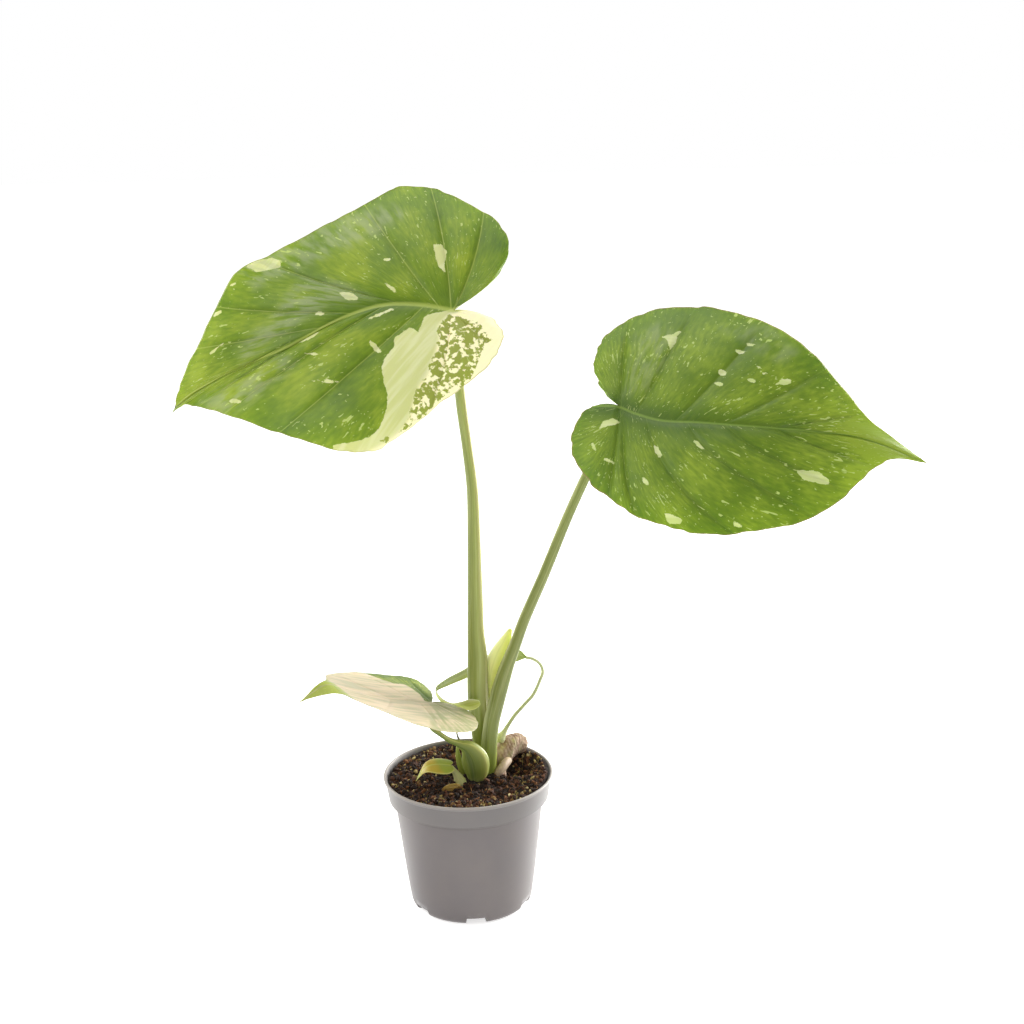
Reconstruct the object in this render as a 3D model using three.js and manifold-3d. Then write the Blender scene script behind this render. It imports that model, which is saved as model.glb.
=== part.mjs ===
// Potted thai constellation monstera, in millimetres, +Z up.
// The origin is the centre of the pot's base, on the ground. The two big leaves point to -X and +X,
// and the upper faces of the leaves look towards -Y.
import * as THREE from 'three';
import { mergeVertices } from 'three/addons/utils/BufferGeometryUtils.js';
import Module from 'manifold-3d';

const wasm = await Module();
wasm.setup();

// Driving dimensions of the pot and its filling
const rimRadius = 60;
const potHeight = 98;
const bandBottom = 81;
const bandRadiusLow = rimRadius - 3.4;
const wall = 1.2;
const bodyRadiusTop = 52.5;
const bodyRadiusLow = 46;
const bodyLowHeight = 23;
const baseRadius = 43;
const floorUnderside = 4.6;
const floorTop = 6;
const padRadius = 10;
const footCount = 6;
const notchWidth = 14;
const notchHeight = 4.4;
const notchDepth = 16;
const firstNotchDegrees = -85;
const drainHoleRadius = 3.5;
const drainHoleCircle = 30;
const aroundPot = 48;
const seatGap = 0.3;
const mixLevel = 92.6;
const bladeThickness = 0.8;

// The crown is a short upright stem in the mix, and the stalks stand on its top
const crownTop = 93.2;
const stalkFoot = crownTop + seatGap;

const group = new THREE.Group();

function material(color, roughness) {
  return new THREE.MeshStandardMaterial({ color, roughness, metalness: 0 });
}

const grey = material('#827f80', 0.55);
const soilBrown = material('#3a2419', 0.95);
const leafGreen = material('#6f9a2c', 0.45);
const paleLeaf = material('#d3c8ae', 0.5);
const youngGreen = material('#c9da5e', 0.5);
const stalkGreen = material('#8fa24a', 0.5);
const corkBrown = material('#a99680', 0.85);
const driedYellow = material('#b08a3e', 0.8);
const driedGrey = material('#8d8a78', 0.8);

function addMesh(name, geometry, surface) {
  const mesh = new THREE.Mesh(geometry, surface);
  mesh.name = name;
  group.add(mesh);
  return mesh;
}

// Points that coincide become one vertex, and a triangle that has shrunk to a line is left out
function weldedGeometry(triangles) {
  const seen = new Map();
  const vertices = [];
  const index = [];
  const vertexOf = (p) => {
    const key = p.map((v) => Math.round(v * 1e4)).join(',');
    if (!seen.has(key)) {
      seen.set(key, vertices.length / 3);
      vertices.push(...p);
    }
    return seen.get(key);
  };
  for (const triangle of triangles) {
    const [a, b, c] = triangle.map(vertexOf);
    if (a !== b && b !== c && c !== a) index.push(a, b, c);
  }
  const geometry = new THREE.BufferGeometry();
  geometry.setAttribute('position', new THREE.Float32BufferAttribute(vertices, 3));
  geometry.setIndex(index);
  return geometry;
}

function toSolid(geometry) {
  const bare = geometry.clone();
  bare.deleteAttribute('normal');
  bare.deleteAttribute('uv');
  const merged = mergeVertices(bare, 1e-4);
  return new wasm.Manifold(new wasm.Mesh({
    numProp: 3,
    vertProperties: new Float32Array(merged.attributes.position.array),
    triVerts: new Uint32Array(merged.index.array),
  }));
}

function fromSolid(solid) {
  const mesh = solid.getMesh();
  const geometry = new THREE.BufferGeometry();
  geometry.setAttribute('position', new THREE.BufferAttribute(mesh.vertProperties, 3));
  geometry.setIndex(new THREE.BufferAttribute(mesh.triVerts, 1));
  return geometry;
}

function smoothstep(low, high, value) {
  const t = Math.min(1, Math.max(0, (value - low) / (high - low)));
  return t * t * (3 - 2 * t);
}

// A stalk or stem: ellipses carried along a smooth curve. Each station is
// [x, y, z, half width, half depth]; the width starts across Y and is carried on without twist.
// A stalk that starts on the crown has a level foot.
function stalkGeometry(stations, sides = 10, perSpan = 2) {
  const path = new THREE.CatmullRomCurve3(stations.map((s) => new THREE.Vector3(s[0], s[1], s[2])));
  const spans = stations.length - 1;
  const steps = spans * perSpan;
  const rings = [];
  const width = new THREE.Vector3();
  for (let i = 0; i <= steps; i += 1) {
    const u = i / steps;
    const centre = path.getPoint(u);
    const onCrown = i === 0 && stations[0][2] === stalkFoot;
    const tangent = onCrown ? new THREE.Vector3(0, 0, 1) : path.getTangent(u);
    if (i === 0) width.crossVectors(new THREE.Vector3(0, 1, 0), tangent);
    width.addScaledVector(tangent, -width.dot(tangent)).normalize();
    const depth = new THREE.Vector3().crossVectors(tangent, width);
    const from = Math.min(spans - 1, Math.floor(u * spans));
    const share = u * spans - from;
    const halfWidth = THREE.MathUtils.lerp(stations[from][3], stations[from + 1][3], share);
    const halfDepth = THREE.MathUtils.lerp(stations[from][4], stations[from + 1][4], share);
    const ring = [];
    for (let j = 0; j < sides; j += 1) {
      const angle = (2 * Math.PI * j) / sides;
      ring.push(centre.clone()
        .addScaledVector(width, halfWidth * Math.cos(angle))
        .addScaledVector(depth, halfDepth * Math.sin(angle)).toArray());
    }
    rings.push({ centre: centre.toArray(), ring });
  }
  const triangles = [];
  const first = rings[0];
  const last = rings[steps];
  for (let j = 0; j < sides; j += 1) {
    const k = (j + 1) % sides;
    triangles.push([first.centre, first.ring[k], first.ring[j]]);
    triangles.push([last.centre, last.ring[j], last.ring[k]]);
    for (let i = 0; i < steps; i += 1) {
      const low = rings[i].ring;
      const high = rings[i + 1].ring;
      triangles.push([low[j], low[k], high[k]], [low[j], high[k], high[j]]);
    }
  }
  return weldedGeometry(triangles);
}

// The height of a leaf's midrib over its own plane, y millimetres from the stalk: it rises to the
// arch at the crest and falls again, and past the bend it turns down on an arc and runs on straight
function midribPoint(leaf, y) {
  const crest = leaf.crest * leaf.length;
  const profile = (v) => {
    const r = v > crest ? (v - crest) / (leaf.length - crest) : (v - crest) / crest;
    return leaf.arch * (v > crest ? 1 - r * r : Math.cos((Math.PI / 2) * Math.max(-2, r)));
  };
  const bendFrom = leaf.bend ? leaf.bend.from : Infinity;
  const onPlane = Math.min(y, bendFrom);
  const slope = profile(onPlane + 0.5) - profile(onPlane - 0.5);
  const angle = Math.atan(slope);
  if (y <= bendFrom) return { y, z: profile(y), angle };
  const turn = THREE.MathUtils.degToRad(leaf.bend.degrees);
  const radius = leaf.bend.over / turn;
  const onArc = Math.min(y - bendFrom, leaf.bend.over);
  const straight = y - bendFrom - onArc;
  const turned = turn * (onArc / leaf.bend.over);
  return {
    y: bendFrom + radius * (Math.sin(angle) - Math.sin(angle - turned))
      + straight * Math.cos(angle - turned),
    z: profile(bendFrom) + radius * (Math.cos(angle - turned) - Math.cos(angle))
      + straight * Math.sin(angle - turned),
    angle: angle - turned,
  };
}

// A point of the blade, lift millimetres above its upper face: the sides fall away from the midrib
function bladePoint(leaf, x, y, lift) {
  const spine = midribPoint(leaf, y);
  const out = Math.max(0, Math.abs(x) - leaf.flatHalf);
  const rise = lift - (x > 0 ? leaf.fallRight : leaf.fallLeft) * out * out;
  return [x, spine.y - rise * Math.sin(spine.angle), spine.z + rise * Math.cos(spine.angle)];
}

// One half of a blade is a fan of lateral veins: each runs from the midrib to the margin and curves
// towards the tip. The first lobeShare of the margin hangs on veins that start at the stalk.
function veinPoint(leaf, margin, s, t) {
  const end = margin.getPoint(s);
  const startY = leaf.length * Math.max(0, (s - leaf.lobeShare) / (1 - leaf.lobeShare));
  const bow = 2 * t * (1 - t);
  return [
    end.x * (bow * 0.6 + t * t),
    startY + (end.y - startY) * (bow * 0.42 + t * t),
  ];
}

function bladeGeometry(leaf, along, across) {
  const triangles = [];
  for (const side of [1, -1]) {
    const outline = [[0, 0], ...(side > 0 ? leaf.marginRight : leaf.marginLeft), [0, leaf.length]];
    const margin = new THREE.CatmullRomCurve3(
      outline.map(([x, y]) => new THREE.Vector3(x, y, 0)), false, 'centripetal');
    const point = (i, j, lift) => {
      const [x, y] = veinPoint(leaf, margin, i / along, j / across);
      return bladePoint(leaf, x, y, lift);
    };
    const addFace = (a, b, c) => triangles.push(side > 0 ? [a, b, c] : [a, c, b]);
    for (let i = 0; i < along; i += 1) {
      for (let j = 0; j < across; j += 1) {
        for (const [lift, up] of [[0, true], [-bladeThickness, false]]) {
          const a = point(i, j, lift);
          const b = point(i, j + 1, lift);
          const c = point(i + 1, j + 1, lift);
          const d = point(i + 1, j, lift);
          if (up) {
            addFace(a, b, c);
            addFace(a, c, d);
          } else {
            addFace(a, c, b);
            addFace(a, d, c);
          }
        }
      }
      const top = point(i, across, 0);
      const topNext = point(i + 1, across, 0);
      const under = point(i, across, -bladeThickness);
      const underNext = point(i + 1, across, -bladeThickness);
      addFace(top, under, underNext);
      addFace(top, underNext, topNext);
    }
  }
  return weldedGeometry(triangles);
}

// A blade's own frame: Y along the midrib, Z out of the upper face, so X is to the right of the midrib
// seen from above. The blade points to its heading, droops below the horizontal and rolls about Y.
function addBlade(name, leaf, surface, along, across) {
  const heading = THREE.MathUtils.degToRad(leaf.heading);
  const droop = THREE.MathUtils.degToRad(leaf.droop);
  const roll = THREE.MathUtils.degToRad(leaf.roll);
  const ahead = new THREE.Vector3(
    Math.cos(heading) * Math.cos(droop), Math.sin(heading) * Math.cos(droop), -Math.sin(droop));
  const level = new THREE.Vector3(Math.sin(heading), -Math.cos(heading), 0);
  const over = new THREE.Vector3().crossVectors(level, ahead);
  const sideways = level.clone().multiplyScalar(Math.cos(roll)).addScaledVector(over, Math.sin(roll));
  const normal = new THREE.Vector3().crossVectors(sideways, ahead);
  const mesh = addMesh(name, bladeGeometry(leaf, along, across), surface);
  mesh.position.set(...leaf.stalkPoint);
  mesh.setRotationFromMatrix(new THREE.Matrix4().makeBasis(sideways, ahead, normal));
}

// Pot: a thin moulded wall, turned about Z, with a rim band and a raised floor. The profile runs from
// the axis out along the underside, up the outside to the lip, down the inside and back to the axis.
// A shallow pad in the middle of the floor and the foot ring stand on the ground.
function potProfile() {
  const bandTop = potHeight - 2.6;
  const bandRadiusTop = rimRadius - 1.3;
  const footInside = baseRadius - 5.4;
  const footOutside = baseRadius - 2.8;
  return [
    [0, 0], [padRadius, 0], [padRadius + 1.6, floorUnderside],
    [footInside - 0.6, floorUnderside], [footInside, 0], [footOutside, 0], [baseRadius, 2.6],
    [bodyRadiusLow, bodyLowHeight], [bodyRadiusTop, bandBottom - 1.5],
    [bandRadiusLow, bandBottom], [bandRadiusTop, bandTop],
    [rimRadius, potHeight - 1.9], [rimRadius, potHeight - 0.6],
    [rimRadius - 0.6, potHeight], [rimRadius - 1.6, potHeight],
    [bandRadiusTop - wall, bandTop], [bandRadiusLow - wall, bandBottom + 1.6],
    [bodyRadiusTop - wall, bandBottom], [bodyRadiusLow - wall, bodyLowHeight],
    [baseRadius - wall, floorTop + 1], [baseRadius - wall - 1.2, floorTop],
    [padRadius + 2.6, floorTop], [padRadius - 1, wall], [0, wall],
  ].map(([r, z]) => new THREE.Vector2(r, z));
}

// LatheGeometry turns about Y, so the profile's height is stood up along Z afterwards
function latheUpright(profile) {
  return new THREE.LatheGeometry(profile, aroundPot).rotateX(Math.PI / 2);
}

function buildPot() {
  let pot = toSolid(latheUpright(potProfile()));
  for (let i = 0; i < footCount; i += 1) {
    const angle = THREE.MathUtils.degToRad(firstNotchDegrees + (360 / footCount) * i);
    const notch = new THREE.BoxGeometry(notchDepth, notchWidth, 2 * notchHeight);
    notch.translate(baseRadius, 0, 0).rotateZ(angle);
    const throughFloor = 2 * (floorTop - floorUnderside) + 6;
    const hole = new THREE.CylinderGeometry(drainHoleRadius, drainHoleRadius, throughFloor, 12);
    hole.rotateX(Math.PI / 2).translate(drainHoleCircle, 0, floorTop).rotateZ(angle);
    pot = pot.subtract(toSolid(notch)).subtract(toSolid(hole));
  }
  return fromSolid(pot);
}

// Height of the mix at (x, y): it rises to the wall, most at the back, with a hollow behind the crown
function mixHeight(x, y) {
  const fromMiddle = Math.hypot(x, y);
  const edgeRise = smoothstep(28, 56, fromMiddle) * (2.1 + 1.1 * (y - 0.5 * Math.abs(x)) / rimRadius);
  const hollow = 1 - smoothstep(4, 20, Math.hypot(x - 34, y - 14));
  const lumps = 0.4 * Math.sin(x * 0.21 + 1) * Math.cos(y * 0.17) + 0.3 * Math.sin(x * 0.47 + y * 0.39);
  return mixLevel + edgeRise + lumps - 6 * hollow;
}

// The mix fills the pot: its side follows the inner wall, and its top is a field of heights
function mixGeometry() {
  const gap = seatGap + 0.1;
  const side = [
    [baseRadius - wall - 1.6, floorTop + gap], [baseRadius - wall - gap, floorTop + 1.6],
    [bodyRadiusLow - wall - gap, bodyLowHeight], [bodyRadiusTop - wall - gap, bandBottom + gap],
    [bandRadiusLow - wall - gap, bandBottom + 1.6 + gap],
  ];
  const topRadii = [56.1, 50, 42, 34, 26, 18, 10];
  const rings = side.map(([r, z]) => ({ r, height: () => z }));
  rings.push(...topRadii.map((r) => ({ r, height: mixHeight })));
  const point = (ring, k) => {
    const angle = (2 * Math.PI * (k % aroundPot)) / aroundPot;
    const x = ring.r * Math.sin(angle);
    const y = -ring.r * Math.cos(angle);
    return [x, y, ring.height(x, y)];
  };
  const triangles = [];
  for (let k = 0; k < aroundPot; k += 1) {
    triangles.push([[0, 0, floorTop + gap], point(rings[0], k + 1), point(rings[0], k)]);
    triangles.push([[0, 0, mixHeight(0, 0)], point(rings.at(-1), k), point(rings.at(-1), k + 1)]);
    for (let i = 0; i < rings.length - 1; i += 1) {
      const a = point(rings[i], k);
      const b = point(rings[i], k + 1);
      const c = point(rings[i + 1], k + 1);
      const d = point(rings[i + 1], k);
      triangles.push([a, b, c], [a, c, d]);
    }
  }
  return weldedGeometry(triangles);
}

const crownStem = [
  [13, 7.5, 66, 8, 8], [13, 7.5, 76, 12, 11.5], [13, 7.5, 87, 14, 13.5], [13, 7.5, crownTop, 14, 13.5],
];
const aboveCrown = [13, 7.5, crownTop + 12, 14, 13.5];

// A pocket in the mix is the stem that stands in it, grown all round by the gap
function pocket(stations, sides) {
  const gap = seatGap + 0.1;
  const [foot, ...rest] = stations.map(([x, y, z, width, depth]) => [x, y, z, width + gap, depth + gap]);
  return toSolid(stalkGeometry([foot.with(2, foot[2] - gap), ...rest], sides));
}

function buildMix() {
  const mix = toSolid(mixGeometry())
    .subtract(pocket([...crownStem, aboveCrown], 16))
    .subtract(pocket(offshootStalk, 10));
  return fromSolid(mix);
}

// Left leaf: it hangs to -X, tilted towards the viewer, in front of its stalk
const leftLeaf = {
  stalkPoint: [-0.2, -15, 433.3], heading: 180, droop: 18, roll: 54,
  length: 195, arch: 24, crest: 0.46, fallRight: 0.002, fallLeft: 0.002, flatHalf: 25, lobeShare: 0.27,
  marginRight: [[4, -8], [11, -21], [21, -35], [37, -46], [57, -46], [78, -32], [96, -16], [105, 5],
    [99, 20], [87, 47], [78, 74], [73, 102], [71, 127], [60, 142], [40, 161], [19, 182]],
  marginLeft: [[-3, -12], [-10, -22], [-21, -26], [-32, -22], [-44, -10], [-54, 6], [-64, 26], [-77, 50],
    [-83, 72], [-78, 90], [-64, 112], [-46, 135], [-24, 160], [-8, 180]],
};

// Right leaf: it hangs to +X, a little lower, with a long drawn-out tip
const rightLeaf = {
  stalkPoint: [109.3, -12, 364.8], heading: 0, droop: 12, roll: -50,
  length: 210, arch: 20, crest: 0.45, fallRight: 0.003, fallLeft: 0.003, flatHalf: 25, lobeShare: 0.27,
  marginRight: [[-2, -8], [-1, -16], [4, -23], [15, -28], [27, -29], [40, -25], [52, -17], [63, -4], [72, 11],
    [79, 30], [83, 50], [83, 70], [78, 92], [68, 120], [54, 141], [36, 157], [18, 170], [6, 184], [2, 198]],
  marginLeft: [[-6, -8], [-15, -15], [-26, -20], [-39, -21], [-54, -17], [-67, -8], [-78, 8], [-84, 30],
    [-85, 50], [-80, 76], [-70, 102], [-52, 128], [-30, 151], [-17, 168], [-9, 187], [-4, 199]],
};

// Low leaf: it rises to the left and forwards, and its tip is bent sharply down
const lowLeaf = {
  stalkPoint: [-23.4, -8.1, 155.5], heading: 228, droop: -26, roll: 13,
  length: 130, arch: -4.4, crest: 0.47, fallRight: 0.001, fallLeft: 0.001, flatHalf: 8, lobeShare: 0.28,
  bend: { from: 100, over: 15, degrees: 53 },
  marginRight: [[8, -8], [18, -16], [28, -20], [38, -20], [44, -12], [45, 1], [46, 20], [43, 42], [34, 64],
    [22, 86], [9, 99], [4, 108], [2, 118]],
  marginLeft: [[0, -12], [-4, -22], [-14, -26], [-28, -20], [-39, -8], [-44, 9], [-44, 28], [-39, 50],
    [-32, 71], [-23, 90], [-14, 103], [-8, 114], [-3, 122]],
};

// Offshoot leaf: small and recurved, its tip hanging to the mix
const offshootLeaf = {
  stalkPoint: [-11.9, -11.2, 108.6], heading: 186, droop: 4, roll: 14,
  length: 32, arch: 2.5, crest: 0.35, fallRight: 0.03, fallLeft: 0.03, flatHalf: 1, lobeShare: 0.2,
  bend: { from: 13, over: 9, degrees: 58 },
  marginRight: [[2, -1.5], [5, -2], [8, 1], [9, 6], [8, 12], [6, 17], [3.5, 22], [1.5, 27]],
  marginLeft: [[-2, -1.5], [-5, -2], [-8, 1], [-9, 6], [-8, 12], [-6, 17], [-3.5, 22], [-1.5, 27]],
};

// The stalks end just under their blades, on the far side of the leaf plane
const leftStalk = [
  [10, 14.4, stalkFoot, 6, 4.2], [9.9, 14.3, 113, 6.3, 4.5], [8.6, 14, 135, 7, 4.8],
  [8, 13.5, 151, 7.2, 4.8], [8.4, 13, 181, 6.6, 4.5], [7.6, 12.5, 200, 5.4, 4.3],
  [8, 11.8, 222, 4.8, 4], [8.4, 10.5, 270, 4, 3.6], [8.2, 8.5, 305, 3.5, 3.3],
  [5.5, 6, 336, 3.1, 3], [2.6, 2.5, 365, 3.1, 2.9], [0.6, 0, 395, 3, 2.8],
  [-1, -2, 415, 2.9, 2.8], [-1.8, -8, 426.5, 2.9, 2.8], [-0.4, -13.9, 432.1, 2.6, 2.6],
];
const rightStalk = [
  [13.5, 3.9, stalkFoot, 5.4, 3.3], [14.9, 4.4, 108, 5.4, 3.8], [17.3, 6, 131, 5.2, 4.2],
  [20.2, 7, 146, 5, 4.3], [23.4, 7, 161, 4.9, 4.2], [27.2, 6.5, 176, 4.5, 4],
  [32.5, 6, 191, 4, 3.7], [39.5, 5, 210, 3.6, 3.4], [54.3, 3, 243, 3.2, 3.1],
  [72.7, 0, 287, 2.9, 2.8], [85.5, -1.6, 315, 2.8, 2.7], [97, -1.8, 338, 2.7, 2.6],
  [105.5, -2.6, 352.5, 2.7, 2.6], [109.6, -6.6, 360, 2.7, 2.6], [109.6, -10.9, 363.9, 2.4, 2.4],
];
const lowStalk = [
  [5.6, -5.8, stalkFoot, 7.4, 4], [6, -5.8, 103, 9.6, 4.6], [4.6, -6.2, 112, 9.4, 4.6],
  [0.6, -7, 119.5, 6, 4], [-5.4, -8.2, 123.4, 2.8, 2.8], [-12, -10, 127, 1.9, 1.9],
  [-18.5, -12, 132.7, 1.7, 1.7], [-23.8, -12, 137.2, 1.7, 1.7], [-26.4, -10.6, 143, 1.7, 1.7], [-25.6, -9, 149, 1.6, 1.6],
  [-24, -8.2, 153.9, 1.5, 1.5],
];
const backStalk = [
  [22.6, 23.3, 110.9, 3.3, 3.2], [23.4, 23.2, 113.6, 3.6, 3.4], [25.6, 23.8, 117, 2, 2],
  [28.4, 26, 121, 1.3, 1.3], [34.1, 29, 128.4, 1.2, 1.2], [40.7, 31, 135.2, 1.1, 1.1],
  [47.3, 32, 142.4, 1.1, 1.1], [52.6, 33, 153.4, 1, 1], [54.7, 33, 160, 1, 1],
  [52.8, 33, 165.7, 1, 1], [47.9, 32, 170, 1, 1], [43, 31, 171.6, 1, 1],
];
const backBlade = [
  [42.2, 31, 172.2, 0.8, 0.8], [37, 31, 173, 3.6, 1], [27.9, 31, 173.2, 4.2, 1], [15.8, 31, 170.2, 4, 1],
  [0.5, 30, 161.3, 3.6, 1], [-13.2, 28, 155.5, 2.6, 0.9], [-21.6, 25, 151, 1.1, 0.8],
  [-19, 17, 147.5, 0.9, 0.8], [-10.6, 10.5, 144.8, 1, 0.8], [-3, 6.6, 146, 2.8, 0.7],
  [4, 4.2, 147.6, 4, 0.7], [9.8, 3, 149.6, 1.8, 0.6],
];
const spear = [
  [18.5, 12.6, stalkFoot, 2, 2], [18.4, 14.6, 115, 2.3, 2.3], [18.3, 16.6, 137, 2.6, 2.4],
  [18.9, 17, 150, 3.4, 2.8], [20.2, 17, 161, 4.8, 3], [22.4, 17, 171, 5.3, 3],
  [25.4, 16.5, 179.5, 4.6, 2.6], [29.3, 16, 187.6, 3.2, 2], [33, 15.2, 196, 0.8, 0.8],
];
const stubStem = [
  [23.3, 18.6, stalkFoot, 4, 4], [24.6, 20.6, 99.5, 6, 6], [28.6, 25.8, 104.4, 7, 7],
  [33, 29.6, 105.4, 6.2, 6.4], [37.6, 33, 105.2, 6.4, 5.6], [40.4, 35, 105, 3.6, 3.4],
];
const rootLeg = [
  [20.9, 1.2, stalkFoot, 1.7, 1.7], [21.2, 1.8, 95.6, 1.9, 1.9], [24.4, 5.4, 97.4, 2, 2],
  [28.4, 12, 98.2, 2, 2], [29.6, 15.6, 97.6, 1.8, 1.8],
];
const offshootStalk = [
  [-5.2, -11.5, 86, 2.6, 2.6], [-5.4, -11.4, 93.5, 3, 3], [-7, -11.2, 98.5, 2.3, 2.3],
  [-9.2, -11, 103, 1.6, 1.6], [-11.4, -11, 106.9, 1.1, 1.1],
];
const bract = [
  [-1.8, 1.8, stalkFoot, 1.6, 1], [-5, 0.2, 101, 2.2, 1], [-6.6, -0.6, 110, 1.9, 0.9],
  [-7.2, -1.4, 118.6, 0.7, 0.6],
];
const witheredTip = [
  [-5.4, -4.8, 124.4, 0.9, 0.7], [-6.4, -3.4, 126.4, 0.7, 0.6], [-7.4, -2, 130.4, 0.5, 0.5],
];

function scaleOnMix() {
  const [x, y, halfWidth, halfLength] = [-11.6, -20.5, 2.4, 6.4];
  const level = mixHeight(x, y) + 2;
  return [
    [x - halfLength, y - 2, level, 0.9, 0.6], [x - halfLength / 2, y - 1, level + 0.5, halfWidth, 1],
    [x + halfLength / 2, y + 1.5, level + 0.7, halfWidth, 1], [x + halfLength, y + 3.4, level + 0.3, 1, 0.7],
  ];
}

addMesh('pot', buildPot(), grey);
addMesh('potting_mix', buildMix(), soilBrown);
addMesh('crown', stalkGeometry(crownStem, 16), corkBrown);
addMesh('rhizome_stub', stalkGeometry(stubStem, 12), corkBrown);
addMesh('anchor_root', stalkGeometry(rootLeg, 8), corkBrown);
addMesh('petiole_left', stalkGeometry(leftStalk, 12), stalkGreen);
addBlade('blade_left', leftLeaf, leafGreen, 28, 6);
addMesh('petiole_right', stalkGeometry(rightStalk, 12), stalkGreen);
addBlade('blade_right', rightLeaf, leafGreen, 28, 6);
addMesh('petiole_low', stalkGeometry(lowStalk, 12), stalkGreen);
addMesh('outer_bract', stalkGeometry(bract, 8), stalkGreen);
addBlade('blade_low', lowLeaf, paleLeaf, 28, 5);
addMesh('withered_tip', stalkGeometry(witheredTip, 6), driedGrey);
addMesh('new_leaf_spear', stalkGeometry(spear, 10), youngGreen);
addMesh('petiole_back', stalkGeometry(backStalk, 8), stalkGreen);
addMesh('blade_back', stalkGeometry(backBlade, 8), youngGreen);
addMesh('offshoot_petiole', stalkGeometry(offshootStalk, 10), stalkGreen);
addBlade('offshoot_blade', offshootLeaf, youngGreen, 16, 4);
addMesh('old_cataphyll', stalkGeometry(scaleOnMix(), 8), driedYellow);

export default group;
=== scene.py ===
# A young variegated monstera in a grey nursery pot, in metres, +Z up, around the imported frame.
# Shapes are worked out in millimetres from the same dimensions as the frame's solids.
import math
from functools import partial
import bmesh
import bpy
import numpy as np
from mathutils import Matrix


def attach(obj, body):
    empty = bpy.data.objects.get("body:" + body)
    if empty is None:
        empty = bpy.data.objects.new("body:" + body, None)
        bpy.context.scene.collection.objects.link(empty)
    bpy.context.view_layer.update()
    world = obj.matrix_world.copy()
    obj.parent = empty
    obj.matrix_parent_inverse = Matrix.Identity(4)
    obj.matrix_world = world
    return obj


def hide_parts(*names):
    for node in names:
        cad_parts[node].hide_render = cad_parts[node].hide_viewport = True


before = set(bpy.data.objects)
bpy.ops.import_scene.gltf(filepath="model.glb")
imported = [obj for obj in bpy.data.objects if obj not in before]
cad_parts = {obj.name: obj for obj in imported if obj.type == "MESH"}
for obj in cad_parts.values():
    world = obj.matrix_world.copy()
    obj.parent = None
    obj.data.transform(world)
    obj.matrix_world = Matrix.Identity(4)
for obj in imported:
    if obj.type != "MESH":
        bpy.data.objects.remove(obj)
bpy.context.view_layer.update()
scene = bpy.context.scene
mm = 0.001


# Small tools

def linearColour(hexText):
    # an sRGB hex value as the linear colour that the shaders work in
    channels = [int(hexText[i:i + 2], 16) / 255 for i in (1, 3, 5)]
    return tuple(c / 12.92 if c <= 0.04045 else ((c + 0.055) / 1.055) ** 2.4 for c in channels) + (1.0,)


def setInputs(tree, node, inputs):
    # sets sockets, by name or number, to constants or hex colours, or links sockets or whole nodes to them
    for key, value in inputs.items():
        if isinstance(value, bpy.types.Node):
            value = value.outputs[2 if value.type == "MIX" else 0]  # a colour mix gives its third output
        if isinstance(value, bpy.types.NodeSocket):
            tree.links.new(value, node.inputs[key])
        else:
            node.inputs[key].default_value = linearColour(value) if isinstance(value, str) else value


def addNode(tree, kind, inputs=None, stops=None, **settings):
    # adds one node with its settings, inputs and colour stops
    node = tree.nodes.new("ShaderNode" + kind)
    for name, value in settings.items():
        setattr(node, name, value)
    setInputs(tree, node, inputs or {})
    if stops:
        ramp = node.color_ramp.elements
        while len(ramp) < len(stops):
            ramp.new(0.5)
        for element, (place, colour) in zip(ramp, stops):
            element.position = place
            element.color = linearColour(colour)
    return node


def layered(tree, base, layers):
    # colours laid over a base one by one: (colour, factors), where a layer's share is its factors' product
    for colour, share, *factors in layers:
        for factor in factors:
            share = addNode(tree, "Math", {0: share, 1: factor}, operation="MULTIPLY")
        base = addNode(tree, "Mix", {0: share, 6: base, 7: colour}, data_type="RGBA")
    return base


def newMaterial(name):
    # a material, its Principled shader, its node tree and what adds nodes to that tree
    made = bpy.data.materials.new(name)
    made.use_nodes = True
    tree = made.node_tree
    return made, tree.nodes["Principled BSDF"], tree, partial(addNode, tree)


def softStep(low, high, value):
    # 0 below low, 1 above high, and a smooth cubic between them
    t = np.clip((value - low) / (high - low), 0, 1)
    return t * t * (3 - 2 * t)


def latticeNoise(x, y, cell, seed):
    # smooth noise from -1 to 1: random values on a square lattice, blended with a cubic
    table = np.random.default_rng(seed).uniform(-1, 1, (128, 128))
    column, row = np.floor(x / cell).astype(int), np.floor(y / cell).astype(int)
    u, v = x / cell - column, y / cell - row
    u, v = u * u * (3 - 2 * u), v * v * (3 - 2 * v)
    low = table[column % 128, row % 128] * (1 - u) + table[(column + 1) % 128, row % 128] * u
    high = table[column % 128, (row + 1) % 128] * (1 - u) + table[(column + 1) % 128, (row + 1) % 128] * u
    return low * (1 - v) + high * v


def smoothCurve(points, share, measured=3):
    # centripetal Catmull-Rom curve through the points, at shares 0 to 1 of their count; the knot spacing
    # is the root of the distance over the first measured columns, and other columns are carried along
    points = np.asarray(points, float)
    count = len(points) - 1
    padded = np.vstack([2 * points[0] - points[1], points, 2 * points[-1] - points[-2]])
    at = np.clip(np.asarray(share, float) * count, 0, count - 1e-9)
    span = at.astype(int)
    t = (at - span)[..., None]
    p0, p1, p2, p3 = (padded[span + k] for k in range(4))
    gaps = [np.maximum(np.linalg.norm((b - a)[..., :measured], axis=-1, keepdims=True), 1e-6) ** 0.5
            for a, b in ((p0, p1), (p1, p2), (p2, p3))]
    g0, g1, g2 = gaps
    leave = ((p1 - p0) / g0 - (p2 - p0) / (g0 + g1) + (p2 - p1) / g1) * g1
    arrive = ((p2 - p1) / g1 - (p3 - p1) / (g1 + g2) + (p3 - p2) / g2) * g1
    return p1 + leave * t + (3 * p2 - 3 * p1 - 2 * leave - arrive) * t ** 2 \
        + (2 * p1 - 2 * p2 + leave + arrive) * t ** 3


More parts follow.
